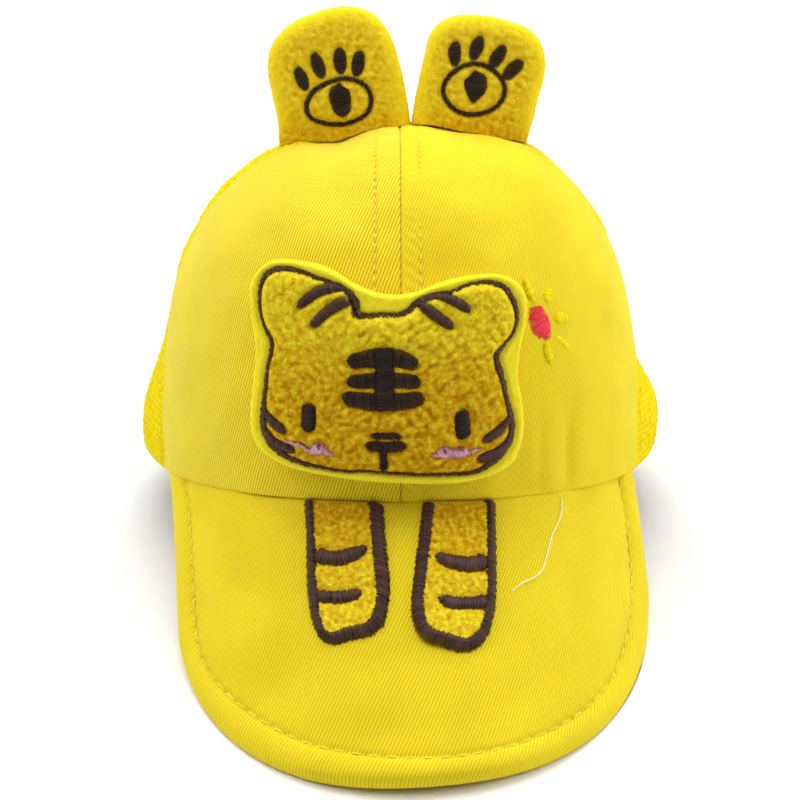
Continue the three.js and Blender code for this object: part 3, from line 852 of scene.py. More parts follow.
upper = middle + normal * (half_thick + relief)[..., None]
lower = middle - normal * (half_thick + LOWER_RELIEF * relief)[..., None]
cut = np.concatenate([place.reshape(-1, 2)] * 2)
# shade is painted shade in the stitch channel and its holes; the painted sheen grows towards the sides.
tones = {
    "shade": np.concatenate([channel.ravel(), 0 * channel.ravel()]),
    "painted_sheen": BRIM_PAINTED_SHEEN[0] * ease(np.abs(cut[:, 0]), *BRIM_PAINTED_SHEEN[1:]),
}
points = np.concatenate([upper.reshape(-1, 3), lower.reshape(-1, 3)])
brim = new_piece("brim_cloth", points, wall_faces(BRIM_ROWS + 1, BRIM_COLUMNS + 1), twill_brim, cut, tones)
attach(brim, "root")
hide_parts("brim")


# %% [markdown]
# A pad is two pieces of fleece sewn together and stuffed. Its face is a height over a flat outline, so it can
# be worked out anywhere: full in the middle, rounded off towards the edge, pressed down under the embroidery,
# and covered in the fleece's small clumps.

# %% Pads
PAD_STEP, FIRST_RING, RING_CROWD = 0.5, 0.02, 1.35
SMALL_CLUMP, LARGE_CLUMP, BACK_AWAY = 2.5, 5, 50


def star_share(points, outline, middle):
    """Each point's distance from the pad's middle, as a share of the outline's distance in the same
    direction."""
    away = outline - np.asarray(middle)
    angle = np.arctan2(away[:, 1], away[:, 0])
    order = np.argsort(angle)
    mine = points - np.asarray(middle)
    turn = np.arctan2(mine[..., 1], mine[..., 0])
    radius = np.interp(turn, angle[order], np.linalg.norm(away, axis=1)[order], period=2 * np.pi)
    return np.linalg.norm(mine, axis=-1) / radius


def rounded(distance, width, square=2.2):
    """A pad's fullness: 0 at its edge, 1 from a width inwards, as a squared quarter circle between."""
    inside = 1 - np.clip(distance / width, 0, 1)
    return np.clip(1 - inside**square, 0, None) ** (1 / square)


def press_of(points, strokes, soft=1.3):
    """How far embroidery presses the pile down: 1 under each stroke, easing off over a soft width beside
    it."""
    press = np.zeros(points.shape[:-1])
    for stroke in strokes:
        away, where = distance_to_path(points, stroke["path"], stroke["closed"])
        half = np.interp(where, np.arange(len(stroke["half"])), stroke["half"])
        press = np.maximum(press, 1 - ease(away - half, -0.4, soft))
    return press


def stroke(points, closed=False, step=0.36, lift=0.0):
    """A band of satin stitch from points of (across, up, whole width): its middle line and its half width."""
    path = smooth_path(points, closed, step)
    return {"path": path[:, :2], "half": path[:, 2] / 2, "closed": closed, "lift": lift}


def pad_faces(rows, columns):
    """Triangles of a grid closed round its columns, and a fan from its first and its last row to a pole
    each."""
    index = np.arange(rows * columns).reshape(rows, columns)
    after = np.roll(index, -1, 1)
    squares = np.stack([index[:-1], after[:-1], after[1:], index[1:]], -1).reshape(-1, 4)
    top, bottom = np.full((2, columns), [[rows * columns], [rows * columns + 1]])
    first = np.stack([top, after[0], index[0]], -1)
    last = np.stack([bottom, index[-1], after[-1]], -1)
    return np.concatenate([squares[:, [0, 1, 2]], squares[:, [0, 2, 3]], first, last])


def fleece_pad(node, ending, table, middle, place, strokes, fleece, seed, thick, width, lumps, columns, rows,
               press=0.7, painted_glow=None, profile=None, painted_light=None):
    """A stuffed pad that stands for a node. table is its outline, and place puts a point of its plane and a
    height over it into the cap. Behind it is thick, a width inside its edge, and in front too, or as high as
    profile says. strokes press it down by press, and lumps is how high its clumps are. The last function
    paints light and shade into the tone, darker where it gives more, and the one before profile paints a
    lemon glow by the edges. Returns the piece, its grid and what the grid knows."""
    outline = smooth_path(table, True, PAD_STEP)
    run = np.linspace(0, len(outline), columns, endpoint=False)
    turns = np.arange(len(outline) + 1)
    ring = np.stack([np.interp(run, turns, np.append(outline[:, i], outline[0, i])) for i in (0, 1)], -1)
    share = 1 - (1 - np.linspace(FIRST_RING, 1, rows)) ** RING_CROWD
    share = np.concatenate([share, share[-2::-1]])
    front = np.arange(len(share)) < rows
    plane = np.asarray(middle) + (ring - middle)[None] * share[:, None, None]
    distance, _ = distance_to_path(plane, outline[::2], True)
    distance[rows - 1] = 0
    full = rounded(distance, width)
    pressed = press_of(plane, strokes) * front[:, None]
    face = profile(plane) if profile else thick * full
    height = np.where(front[:, None], face - press * pressed, -thick * full)
    points = place(plane[..., 0], plane[..., 1], height)
    normal = ring_normals(points)
    outward = points[rows // 2, 0] - points[-rows // 2, 0]
    normal *= np.sign((normal[rows // 2, 0] * outward).sum())
    # Painted glow: how much lit lemon colour is mixed in, by the edges.
    light = painted_glow(plane, distance) * front[:, None] if painted_glow else np.zeros_like(distance)
    round_side = np.where(front[:, None], plane[..., 0], plane[..., 0] + BACK_AWAY)
    small = waves(round_side, plane[..., 1], SMALL_CLUMP, seed, 40)
    large = waves(round_side, plane[..., 1], LARGE_CLUMP, seed + 1, 20)
    clump = (0.6 * small + 0.4 * large) * (1 - pressed) * ease(distance, -0.5, 2.5) * (1 - 0.8 * light)
    points = points + normal * (lumps * clump)[..., None]
    # The tone paints light on the clumps' crowns and shade between them and in the grooves that the stitches
    # press, and takes the pad's own painted light and shade.
    tone = np.clip(0.55 + 0.2 * clump - 0.2 * pressed - (painted_light(plane) if painted_light else 0), 0, 1)
    every = np.concatenate([points.reshape(-1, 3), points[:1].mean(1), points[-1:].mean(1)])
    tones = {"tone": np.append(tone, [0.5, 0.5]), "painted_glow": np.append(light, [0, 0])}
    piece = new_piece(node + ending, every, pad_faces(*plane.shape[:2]), fleece, None, tones)
    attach(piece, "root")
    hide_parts(node)
    return {"piece": piece, "points": points, "normal": normal, "plane": plane, "pressed": pressed,
            "tone": tone, "painted_glow": light, "outline": outline, "distance": distance, "front": front}


# %% [markdown]
# The pile is short fibre in tufts. Each tuft is a slanting spike of four faces, rooted in the pad and leaning
# its own way, so thousands of them cost little.

# %% Pile
TUFT_SIDES, TUFT_ROOTED, TUFT_BEND, TUFT_END, TUFT_CURL = 3, 0.25, 0.55, 0.6, 0.8


def pile(name, pad, count, length, radius, lean, seed, density, fleece):
    """Tufts at random places of a pad's grid: as many on each square millimetre as the density there says."""
    random = np.random.default_rng(seed)
    points, normal = pad["points"], pad["normal"]
    after = np.roll(points, -1, 1)
    cells = np.linalg.norm(np.cross(points[1:] - points[:-1], (after - points)[:-1]), axis=-1) * density[:-1]
    chosen = random.choice(cells.size, count, p=(cells / cells.sum()).ravel())
    row, column = np.unravel_index(chosen, cells.shape)
    along, over = random.uniform(0, 1, (2, count, 1))
    here = points[row, column]
    root = here + along * (after[row, column] - here) + over * (points[row + 1, column] - here)
    up = normal[row, column]
    stray = random.normal(0, 1, (count, 3))
    stray -= up * (stray * up).sum(-1, keepdims=True)
    curl = random.normal(0, 1, (count, 3))
    size = (length * random.uniform(0.6, 1.25, count))[:, None]
    thin = (radius * random.uniform(0.7, 1.3, count))[:, None]
    way = unit(up + lean * stray)
    bent = unit(way + TUFT_CURL * curl)
    side = unit(np.cross(way, stray))
    other = np.cross(way, side)
    angle = np.arange(TUFT_SIDES) * 2 * np.pi / TUFT_SIDES
    ring = side[:, None] * np.cos(angle)[None, :, None] + other[:, None] * np.sin(angle)[None, :, None]
    base = root - TUFT_ROOTED * up
    tip = root + way * size * TUFT_BEND + bent * size * TUFT_END
    shape = np.concatenate([base[:, None] + ring * thin[:, None], tip[:, None]], 1)
    start = (np.arange(count) * (TUFT_SIDES + 1))[:, None, None]
    faces = (np.array([[0, 2, 1], [0, 1, 3], [1, 2, 3], [2, 0, 3]])[None] + start).reshape(-1, 3)
    # Each tuft takes its pad's tone with its painted light and shade, and is painted darker at its root and
    # lighter at its tip, as shade in the pile's depth and light on its tips.
    tone = pad["tone"][row, column] + random.normal(0, 0.07, count)
    tones = np.stack([tone - 0.04] * TUFT_SIDES + [tone + 0.13], 1)
    painted_glow = np.repeat(pad["painted_glow"][row, column][:, None], TUFT_SIDES + 1, 1)
    attributes = {"tone": np.clip(tones, 0, 1), "painted_glow": painted_glow}
    piece = new_piece(name, shape.reshape(-1, 3), faces, fleece, None, attributes)
    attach(piece, "root")


# %% [markdown]
# Satin stitch fills a band with threads laid close across it, each one arched over the cloth and sunk in at
# its ends. One function makes every band of embroidery from its middle line and its width.

# %% Satin stitch
STATIONS, STITCH_SLANT = 6, 0.36


def arched(share, loft, sink, power=0.5):
    """The height of a thread over the cloth: up by loft in its middle and down by sink at its ends, as the
    sine of its way across, to a power."""
    arch = np.sin(np.pi * share) ** power
    return loft * arch - sink * (1 - arch)


def thread_tubes(name, lines, normals, radius, material, tones, sides=4, taper=0.55):
    """Closed tubes along many short lines at once: a ring of points round each station, thinner at the
    ends."""
    count, stations = lines.shape[:2]
    along = unit(np.gradient(lines, axis=1))
    side = unit(np.cross(along, normals))
    over = np.cross(side, along)
    angle = (np.arange(sides) + 0.5) * 2 * np.pi / sides
    thin = radius * (taper + (1 - taper) * np.sin(np.pi * np.linspace(0, 1, stations)) ** 0.5)
    ring = side[:, :, None] * np.cos(angle)[:, None] + over[:, :, None] * np.sin(angle)[:, None]
    points = lines[:, :, None] + ring * thin[None, :, None, None]
    index = np.arange(stations * sides).reshape(stations, sides)
    after = np.roll(index, -1, 1)
    quads = np.stack([index[:-1], after[:-1], after[1:], index[1:]], -1).reshape(-1, 4)
    tris = np.concatenate([quads[:, [0, 1, 2]], quads[:, [0, 2, 3]]])
    caps = [[0, i + 1, i] for i in range(1, sides - 1)]
    ends = [[index[-1, 0], index[-1, i], index[-1, i + 1]] for i in range(1, sides - 1)]
    one = np.concatenate([tris, np.array(caps), np.array(ends)])
    faces = (one[None] + (np.arange(count) * stations * sides)[:, None, None]).reshape(-1, 3)
    tone = np.repeat(np.asarray(tones)[:, None], stations * sides, 1)
    piece = new_piece(name, points.reshape(-1, 3), faces, material, None, {"tone": tone})
    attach(piece, "root")
    return piece


def lay_threads(name, place, spots, heights, radius, material, tones, slot, **shape):
    """Threads through spots of a plane, at heights over the cloth that place puts them on, as one piece."""
    heights = np.broadcast_to(heights, spots.shape[:-1])
    lines = place(spots[..., 0], spots[..., 1], heights)
    ups = unit(place(spots[..., 0], spots[..., 1], heights + 1) - lines)
    piece = thread_tubes(name, lines, ups, radius, material, tones, **shape)


def satin(name, strokes, place, material, seed,
          radius=0.21, loft=0.5, jag=0.22, sink=0.25, slot="brown_thread"):
    """All the stitches of a set of strokes as one piece. Each runs from one side of its band to the other,
    ends a little short or long, slants by half a pitch, and is arched by the sine of its way across."""
    random = np.random.default_rng(seed)
    share = np.linspace(0, 1, STATIONS)[None, :]
    spots, heights, tones = [], [], []
    for band in strokes:
        path, half, count = band["path"], band["half"], len(band["path"])
        ways = np.roll(path, -1, 0) - np.roll(path, 1, 0) if band["closed"] else np.gradient(path, axis=0)
        way = unit(ways)
        cross = np.stack([-way[:, 1], way[:, 0]], -1)
        reach = half[:, None] + random.uniform(-jag, jag, (count, 2))
        offset = reach[:, :1] * (1 - share) - reach[:, 1:] * share
        slant = (share - 0.5) * STITCH_SLANT
        spots.append(path[:, None] + cross[:, None] * offset[..., None] + way[:, None] * slant[..., None])
        tall = np.minimum(loft, 0.16 + half * 0.28)[:, None]
        rough = random.uniform(-0.03, 0.03, (count, 1))
        heights.append(band["lift"] + arched(share, tall, sink, 0.6) + rough)
        tones.append(np.clip(random.normal(0.5, 0.28, count), 0, 1))
    spots, heights, tones = (np.concatenate(rows) for rows in (spots, heights, tones))
    lay_threads(name, place, spots, heights, radius, material, tones, slot)


def running_stitch(name, path, place, material, seed, gap, radius, loft=0.3, sink=0.35):
    """A row of topstitching with one stitch for each step of a path, less a gap: each comes up, lies on the
    cloth, and goes down again."""
    random = np.random.default_rng(seed)
    start = np.arange(len(path) - 1)[:, None]
    share = np.linspace(0, 1, STATIONS)
    at = start + random.uniform(-0.02, 0.02, start.shape) + gap / 2 + share * (1 - gap)
    spots = np.stack([np.interp(at, np.arange(len(path)), path[:, i]) for i in (0, 1)], -1)
    tones = random.uniform(0.2, 1, len(start))
    height = arched(share, loft, sink)
    lay_threads(name, place, spots, height, radius, material, tones, "pale_thread", sides=6, taper=0.7)


# %% [markdown]
# The tiger head is a flat stuffed patch, bent round the crown. Its features are plain bands of brown satin
# stitch.

# %% The tiger head
HEAD_OUTLINE = [
    (-3, 58.3), (5, 59), (12, 61.6), (22, 63.2), (30.4, 62.2), (35.4, 57.6), (36, 51), (34.3, 42.6),
    (33.6, 35), (35.2, 26), (35.2, 18), (32.2, 11), (21, 7), (0, 7), (-18, 8.3), (-33, 10.8), (-40.8, 16),
    (-42, 24), (-40.8, 34), (-40.1, 42), (-41.6, 52), (-41, 60.6), (-35.8, 65.8), (-28, 66.7), (-19, 65.2),
    (-11, 60.8),
]
HEAD_MIDDLE, HEAD_BEND, HEAD_LEAN, HEAD_BACK = (-3, 36), 78, math.radians(5), 3.4
HEAD_X, HEAD_Y, HEAD_Z = -1, -88.9, 6
HEAD_PRESS, HEAD_THREAD = 0.7, 0.25


def head_place(across, up, lift):
    """Bent round an upright cylinder, leaning back a little, and raised along the cylinder's radius."""
    angle = across / HEAD_BEND
    radius = HEAD_BEND + lift
    return np.stack([
        HEAD_X + radius * np.sin(angle),
        HEAD_Y + HEAD_BEND - radius * np.cos(angle) + up * math.sin(HEAD_LEAN),
        HEAD_Z + up * math.cos(HEAD_LEAN) + 0 * angle,
    ], -1)


head_line = stroke([
    (-34.7, 63.4, 1.5), (-37.2, 60.5, 1.7), (-38.1, 54.3, 1.6), (-36.9, 49, 1.5), (-34.4, 44.2, 1.9),
    (-35.6, 37.8, 1.5), (-36.5, 31.2, 1.7), (-37.2, 24.6, 2.5), (-37.1, 20.2, 2.9), (-35.2, 16.4, 3),
    (-30.6, 13.3, 2.2), (-25.1, 11.7, 1.4), (-18.6, 10.8, 0.9), (-13.4, 10.4, 0.7), (-9.3, 10.6, 0.7),
    (-4.2, 10.3, 0.8), (4, 9.8, 1), (14.2, 9.5, 1.2), (21.1, 9.8, 1.6), (26.5, 12.6, 2.5), (30.4, 17.2, 2.8),
    (31.3, 22.5, 2.2), (29.9, 28.1, 1.8), (28.7, 33.6, 1.9), (26.7, 41.3, 2.2), (28.5, 43.6, 1.6),
    (31.3, 46.9, 1.3), (32.6, 51, 1.6), (31.5, 55.4, 1.9), (28.9, 59.3, 1.5), (24.5, 61.2, 0.9),
    (19.7, 61, 0.5), (13, 58.8, 0.6), (9.4, 58.1, 1.6), (5.4, 56.6, 1.6), (2.9, 54.3, 1.2), (0.4, 53.2, 1.0),
    (-4.2, 53.2, 0.9), (-8.2, 52.8, 1.2), (-11, 53.3, 1.9), (-10.9, 56, 1.9), (-12.7, 58.8, 1.5),
    (-17.4, 61.3, 1), (-22.6, 62.9, 0.9), (-26.9, 64.2, 1), (-30.8, 64.5, 1.3),
], True)


def bar(points, blunt=0.5):
    """A stroke whose ends are blunt: both reach nearly their full width over a short length."""
    points = np.asarray(points, float)
    first, last = points[1] - points[0], points[-2] - points[-1]
    near = [points[i, :2] + way[:2] / np.linalg.norm(way[:2]) * blunt for i, way in ((0, first), (-1, last))]
    ends = [np.append(points[i, :2], points[i, 2] * 0.5) for i in (0, -1)]
    full = [np.append(near[0], points[0, 2] * 0.93), np.append(near[1], points[-1, 2] * 0.93)]
    return stroke([ends[0], full[0], *points[1:-1], full[1], ends[1]])


ear_stripes = [
    bar([(-26, 54.7, 2.1), (-21.6, 58.6, 3), (-17.9, 60.1, 2.9), (-14.3, 60.3, 1.8)]),
    bar([(-22.2, 49.9, 2.2), (-17.4, 54.6, 3.1), (-13.3, 56.8, 3), (-10.9, 56.8, 2)]),
    bar([(18.7, 54.3, 2.1), (15.1, 56.6, 2.8), (12, 58, 2.5), (9.6, 58.2, 1.6)]),
    bar([(14.1, 49.9, 2.3), (9.9, 53, 3.1), (6.9, 55.4, 2.9), (5.2, 56.4, 2)]),
    bar([(-36.6, 25.6, 1.6), (-34, 22.7, 2.9), (-30, 20.4, 2.4)]),
    bar([(-36.4, 20, 2.4), (-33.5, 16.9, 3.1), (-27.8, 15.4, 2.5)]),
    bar([(31.4, 25, 1.6), (27.6, 21.2, 2.9), (22.8, 18.4, 2.4)]),
    bar([(31.3, 18.4, 2.4), (27.3, 15, 3.2), (21.4, 13.2, 2.6)]),
]
face_marks = [
    bar([(-12.5, 40.4, 3.6), (-8.2, 41.6, 5), (-3.9, 42.1, 5.5), (0.4, 41.8, 5), (4.9, 40.1, 3.6)], 0.5),
    bar([(-12.7, 35.2, 3.4), (-8.2, 35.7, 4.3), (-3.7, 35.9, 4.5), (0.9, 35.9, 4.4), (5.6, 35.3, 3.4)], 0.5),
    bar([(-14, 31, 3.6), (-8.7, 30.2, 4.9), (-3.7, 29.9, 5.2), (1.4, 30.2, 4.9), (6.5, 31.3, 3.7)], 0.5),
    bar([(-3.6, 44.5, 4.9), (-3.5, 40, 5), (-3.4, 34, 5.1), (-3.4, 28, 4.9)], 0.3),
    bar([(-23.2, 28.6, 3.7), (-23.3, 25, 4.3), (-23.5, 21.2, 3.6)], 0.45),
    bar([(16.7, 27.2, 3.7), (16.9, 23.4, 4.3), (17.1, 19.6, 3.6)], 0.45),
    bar([(-6.6, 20.6, 1.7), (-3, 20.7, 2), (0.8, 20.6, 1.7)], 0.4),
    bar([(-8, 17.9, 2.6), (-3, 17.7, 3.2), (2, 18, 2.6)], 0.5),
    bar([(-3.7, 17, 2.1), (-3.6, 14, 1.8), (-3.6, 11.2, 2.3)], 0.3),
]
face_marks[3]["lift"] = 0.2
head_cheeks = [
    stroke([(-30.2, 18, 0.5), (-29, 17.6, 0.7), (-26.7, 17.3, 0.9), (-25.6, 17, 0.9), (-24.5, 16.2, 0.8),
            (-23.7, 15.8, 0.9), (-22.8, 15.5, 1.4), (-21.9, 15.7, 2.6), (-21.1, 16.2, 3.5), (-20.3, 16.5, 4),
            (-19.5, 16.3, 3.5), (-18.8, 15.6, 1.8), (-17.7, 15.2, 1),
            (-16.7, 15.1, 0.4)], step=0.3, lift=0.1),
    stroke([(9, 15.3, 0.4), (9.9, 15.2, 1.2), (10.7, 15.6, 2.5), (11.7, 15.9, 3.4), (12.6, 15.9, 3.7),
            (13.5, 15.6, 3.1), (14.4, 15.3, 2.6), (15.5, 15.6, 3.2), (16.6, 15.8, 3.4), (17.4, 15.7, 2.6),
            (18.2, 15.4, 1.7), (19.4, 15.7, 1.2), (20.6, 16.1, 0.9), (21.8, 16.4, 0.4)], step=0.3, lift=0.1),
]
cheek_spots = [
    stroke([(-25.6, 17.3, 1.2), (-24.8, 17.4, 2), (-24.1, 17.2, 2.1), (-23.3, 16.7, 1.2)], step=0.3),
    stroke([(-20.7, 17.9, 0.5), (-20.6, 17.3, 0.7), (-20.5, 16.4, 0.5)], step=0.3, lift=0.5),
    stroke([(12, 16.9, 0.5), (12.2, 16.4, 0.7), (12.5, 15.9, 0.5)], step=0.3, lift=0.5),
    stroke([(15.8, 16.9, 0.5), (16.4, 16.8, 0.6), (17, 16.6, 0.5)], step=0.3, lift=0.5),
]


def head_painted_light(plane):
    """Painted light and shade on the face: darker from the middle down and lighter at the top, as the light
    falls from above."""
    up = plane[..., 1]
    return 0.21 + 0.07 * (1 - ease(up, 8, 22)) - 0.44 * ease(up, 32, 50)


def head_painted_glow(plane, distance):
    """A painted glow: 1 outside the brown outline, round the side of the pad, where its rim catches the
    light, and half that just inside it at the top, a painted highlight where the light falls from above."""
    inside = star_share(plane, head_line["path"], HEAD_MIDDLE)
    away, _ = distance_to_path(plane, head_line["path"][::2], True)
    painted_highlight = 0.5 * (1 - ease(away, 0.5, 4)) * ease(plane[..., 1], 42, 56)
    return np.maximum(ease(inside, 1.0, 1.045), painted_highlight)


FLANGE_THICK, FACE_THICK, DOME = 1.9, 3.3, 1.4
head_edge = smooth_path(HEAD_OUTLINE, True, 1.0)


def head_profile(spots):
    """The front's height: an even flange up to the brown outline, the face's stuffing rising steeply inside
    it, and a shallow dome of one minus the squared share of the way out over all."""
    edge, _ = distance_to_path(spots, head_edge, True)
    away, _ = distance_to_path(spots, head_line["path"][::2], True)
    share = star_share(spots, head_line["path"], HEAD_MIDDLE)
    stuffed = rounded(np.where(share < 1, away, 0), 5.5)
    dome = DOME * np.clip(1 - share**2, 0, 1)
    return FLANGE_THICK * rounded(edge, 1.4) + (FACE_THICK - FLANGE_THICK) * stuffed + dome


def head_face(across, up, lift):
    """A place on the stitched face of the head, at a height over the pressed fleece."""
    return head_place(across, up, head_profile(np.stack([across, up], -1)) - HEAD_PRESS + HEAD_THREAD + lift)


head_strokes = [head_line, *ear_stripes, *face_marks, *head_cheeks]
head = fleece_pad(
    "tiger_head", "_pad", HEAD_OUTLINE, HEAD_MIDDLE, head_place, head_strokes, head_fleece, 41,
    thick=HEAD_BACK, width=7, lumps=0.22, columns=380, rows=60, press=HEAD_PRESS,
    painted_glow=head_painted_glow, profile=head_profile, painted_light=head_painted_light,
)
satin("head_outline_stitches", [head_line], head_face, brown_thread, 42, jag=0.3)
satin("head_stripe_stitches", ear_stripes, head_face, brown_thread, 43)
satin("head_face_stitches", face_marks, head_face, dark_thread, 46)
satin("head_cheek_stitches", head_cheeks, head_face, pink_thread, 44, 0.17, 0.3, 0.3, slot="pale_thread")
satin("head_cheek_spots", cheek_spots, head_face, plum_thread, 47, 0.17, 0.3, 0.15)
open_pile = (head["pressed"] < 0.55) & head["front"][:, None] & (head["distance"] > 0.4)
density = open_pile * np.where(head["painted_glow"] < 0.6, 1, 0.45)
pile("head_pile", head, 19000, 0.46, 0.19, 1.6, 45, density, head_fleece)

# %% [markdown]
# The paw ears stand in the seam across the top. Each carries a paw print: a ring, a pad in it and four toes.

# %% Paw ears
EAR_HALF, EAR_ROOT, EAR_ROOT_TALL, EAR_LEAN = 3.6, 2.1, 14, math.radians(5)
EAR_Y, EAR_Z, EAR_CLEAR = -3, 92, 0.35
EAR_ROUND, EAR_PRESS, EAR_THREAD = 6, 0.6, 0.2
LEFT_EAR = [(-34.5, -4), (-36.8, 10), (-39.7, 27), (-38, 33.4), (-33, 38.6), (-25, 42.2), (-16, 44),
            (-8.4, 42), (-3.4, 36.4), (0, 27), (2.6, 14), (3.2, 9), (3.25, 3), (-16, 2)]
RIGHT_EAR = [(3.6, 3), (3.6, 9), (4.2, 14), (6.9, 27), (9.6, 36.6), (15, 40.8), (24, 41.4), (33, 39.6),
             (40.4, 36), (43.8, 28), (41.6, 16), (37.9, 2), (36, -4), (20, 2)]


def ear_place(across, up, lift):
    """Upright in the top seam, thinner at its root, and never under the crown's cloth that it stands on."""
    thin = ease(up, 0, EAR_ROOT_TALL)
    thick = lift / EAR_HALF * (EAR_ROOT + (EAR_HALF - EAR_ROOT) * thin)
    y = EAR_Y + up * math.sin(EAR_LEAN) - thick
    z = EAR_Z + up * math.cos(EAR_LEAN) + 0 * thick
    return np.stack([across + 0 * thick, y, np.maximum(z, crown_top(across + 0 * y, y) + EAR_CLEAR)], -1)


def ear_painted_glow(plane, distance):
    """A painted lemon glow towards the edge, standing in for light that comes through the thin pile there."""
    return 0.9 * (1 - ease(distance, 0.2, 7)) * ease(plane[..., 1], 3, 12)


def ear_painted_shade(plane):
    """Painted shade: darker towards the root, in the crevice where the ear meets the crown, a little lighter
    above.
    """
    return 0.36 * (1 - ease(plane[..., 1], 4, 18)) - 0.12


def ear_face(table):
    """A place function for the stitched face of one ear."""
    outline = smooth_path(table, True, 1.0)

    def face(across, up, lift):
        distance, _ = distance_to_path(np.stack([across, up], -1), outline, True)
        return ear_place(across, up, EAR_HALF * rounded(distance, EAR_ROUND) - EAR_PRESS + EAR_THREAD + lift)

    return face


left_print = [
    stroke([(-28.1, 14.2, 1.35), (-26.3, 18.7, 1.35), (-22.4, 21.3, 1.35), (-17.9, 22.8, 1.35),
            (-13.4, 22.5, 1.35), (-9.8, 20.2, 1.35), (-8.6, 16.9, 1.35), (-9.5, 13, 1.35),
            (-12.6, 10.7, 1.35), (-18, 9.2, 1.35), (-23.4, 9.8, 1.35), (-26.7, 11.2, 1.35)], True),
    bar([(-18.2, 21.4, 2), (-18.4, 20.2, 4.8), (-18.2, 18.4, 6.6), (-17.7, 16, 6.6), (-17.2, 13.9, 5.6),
         (-17, 11.8, 4.2)]),
    bar([(-30.8, 26, 2.8), (-29.4, 22.8, 4), (-27.9, 19.7, 2.8)], 0.7),
    bar([(-25.8, 30.2, 2.9), (-24.5, 26.7, 4.1), (-23.1, 23.3, 2.9)], 0.7),
    bar([(-18.2, 31.8, 3.1), (-17.9, 28, 4.2), (-17.6, 24.5, 3)], 0.7),
    bar([(-12, 30.9, 3.1), (-12.5, 27.3, 4.1), (-12.9, 23.8, 3)], 0.7),
]
right_print = [
    stroke([(12.9, 19.6, 1.35), (14.4, 23.1, 1.35), (18, 26.1, 1.35), (22.5, 27.3, 1.35), (27, 26.1, 1.35),
            (30.6, 22.6, 1.35), (31.5, 18.7, 1.35), (29.5, 15.1, 1.35), (25.6, 12.8, 1.35),
            (21.1, 12.2, 1.35), (16.6, 13.7, 1.35), (13.9, 16.6, 1.35)], True),
    bar([(22.3, 25, 2.6), (22.7, 23.4, 6), (22.8, 20.8, 7.2), (22.4, 18.2, 5.2), (21.9, 15.9, 2)]),
    bar([(16.6, 33.7, 3), (16.4, 30.3, 4), (16.8, 26.9, 3)], 0.7),
    bar([(24.1, 35.3, 3), (23, 32, 4.1), (21.9, 28.7, 3)], 0.7),
    bar([(31.1, 32.5, 3), (29.4, 29.5, 4.2), (27.4, 26.4, 3)], 0.7),
    bar([(36.5, 28, 3.1), (33.9, 25.7, 4.1), (31.4, 23, 3)], 0.7),
]
for side_name, table, middle, prints, seed in (
    ("left", LEFT_EAR, (-18, 22), left_print, 51),
    ("right", RIGHT_EAR, (24, 20), right_print, 61),
):
    ear = fleece_pad(
        "paw_ear_" + side_name, "_pad", table, middle, ear_place, prints, paw_fleece, seed,
        thick=EAR_HALF, width=EAR_ROUND, lumps=0.14, columns=290, rows=44, press=EAR_PRESS,
        painted_glow=ear_painted_glow, painted_light=ear_painted_shade,
    )
    satin("paw_print_" + side_name, prints, ear_face(table), dark_thread, seed + 2)
    open_pile = (ear["pressed"] < 0.55) & (ear["plane"][..., 1] > 1.5)
    pile("paw_pile_" + side_name, ear, 13500, 0.46, 0.19, 1.4, seed + 3, open_pile, paw_fleece)

# %% [markdown]
# The legs are flat fleece patches on the brim. A wide satin border goes over their raw edge.

# %% Legs
LEG_THICK, LEG_CLEAR, HEM_LINE = 1.5, 0.3, 1.5


def leg_place(across, out, lift):
    """Flat on the brim's upper face, at a height over the leg's middle."""
    height = LEG_CLEAR - BRIM_UNDER + LEG_THICK / 2 + lift
    return sheet_point(across, out) + sheet_normal(across, out) * np.asarray(height)[..., None]


left_leg_bands = [
    stroke([(-25.9, 0.4, 3.7), (-25.7, 7.6, 3.6), (-25.6, 17.6, 3.6), (-25.3, 27.4, 3.8), (-24.9, 32.2, 3.7),
            (-24.2, 37, 3.5), (-22.8, 40.2, 3.5), (-20.4, 41.8, 3.6), (-16.7, 40.5, 3.7), (-13.8, 39.4, 3.8),
            (-10.8, 38.6, 3.9), (-7.8, 36, 4.1), (-6.1, 29.8, 3.9), (-5.8, 26.5, 4.2), (-6.2, 20, 4.2),
            (-6.6, 13.5, 4.2), (-6.9, 6.8, 4.2), (-7, 0.4, 4.2)], lift=0.15),
    bar([(-23.8, 17.2, 6.2), (-22.3, 17.7, 5.6), (-19.2, 18.1, 5.2), (-16.2, 17.6, 5.4), (-13.2, 16.4, 4.8),
         (-10.8, 15, 3.2), (-9.8, 14.4, 2.6)], 0.4),
    bar([(-23.6, 29.4, 4.4), (-20.9, 29.8, 4.3), (-17.9, 29.8, 4.3), (-15, 29.1, 4.2), (-12.9, 28.5, 3.7),
         (-11.7, 28.2, 2.9)], 0.6),
]
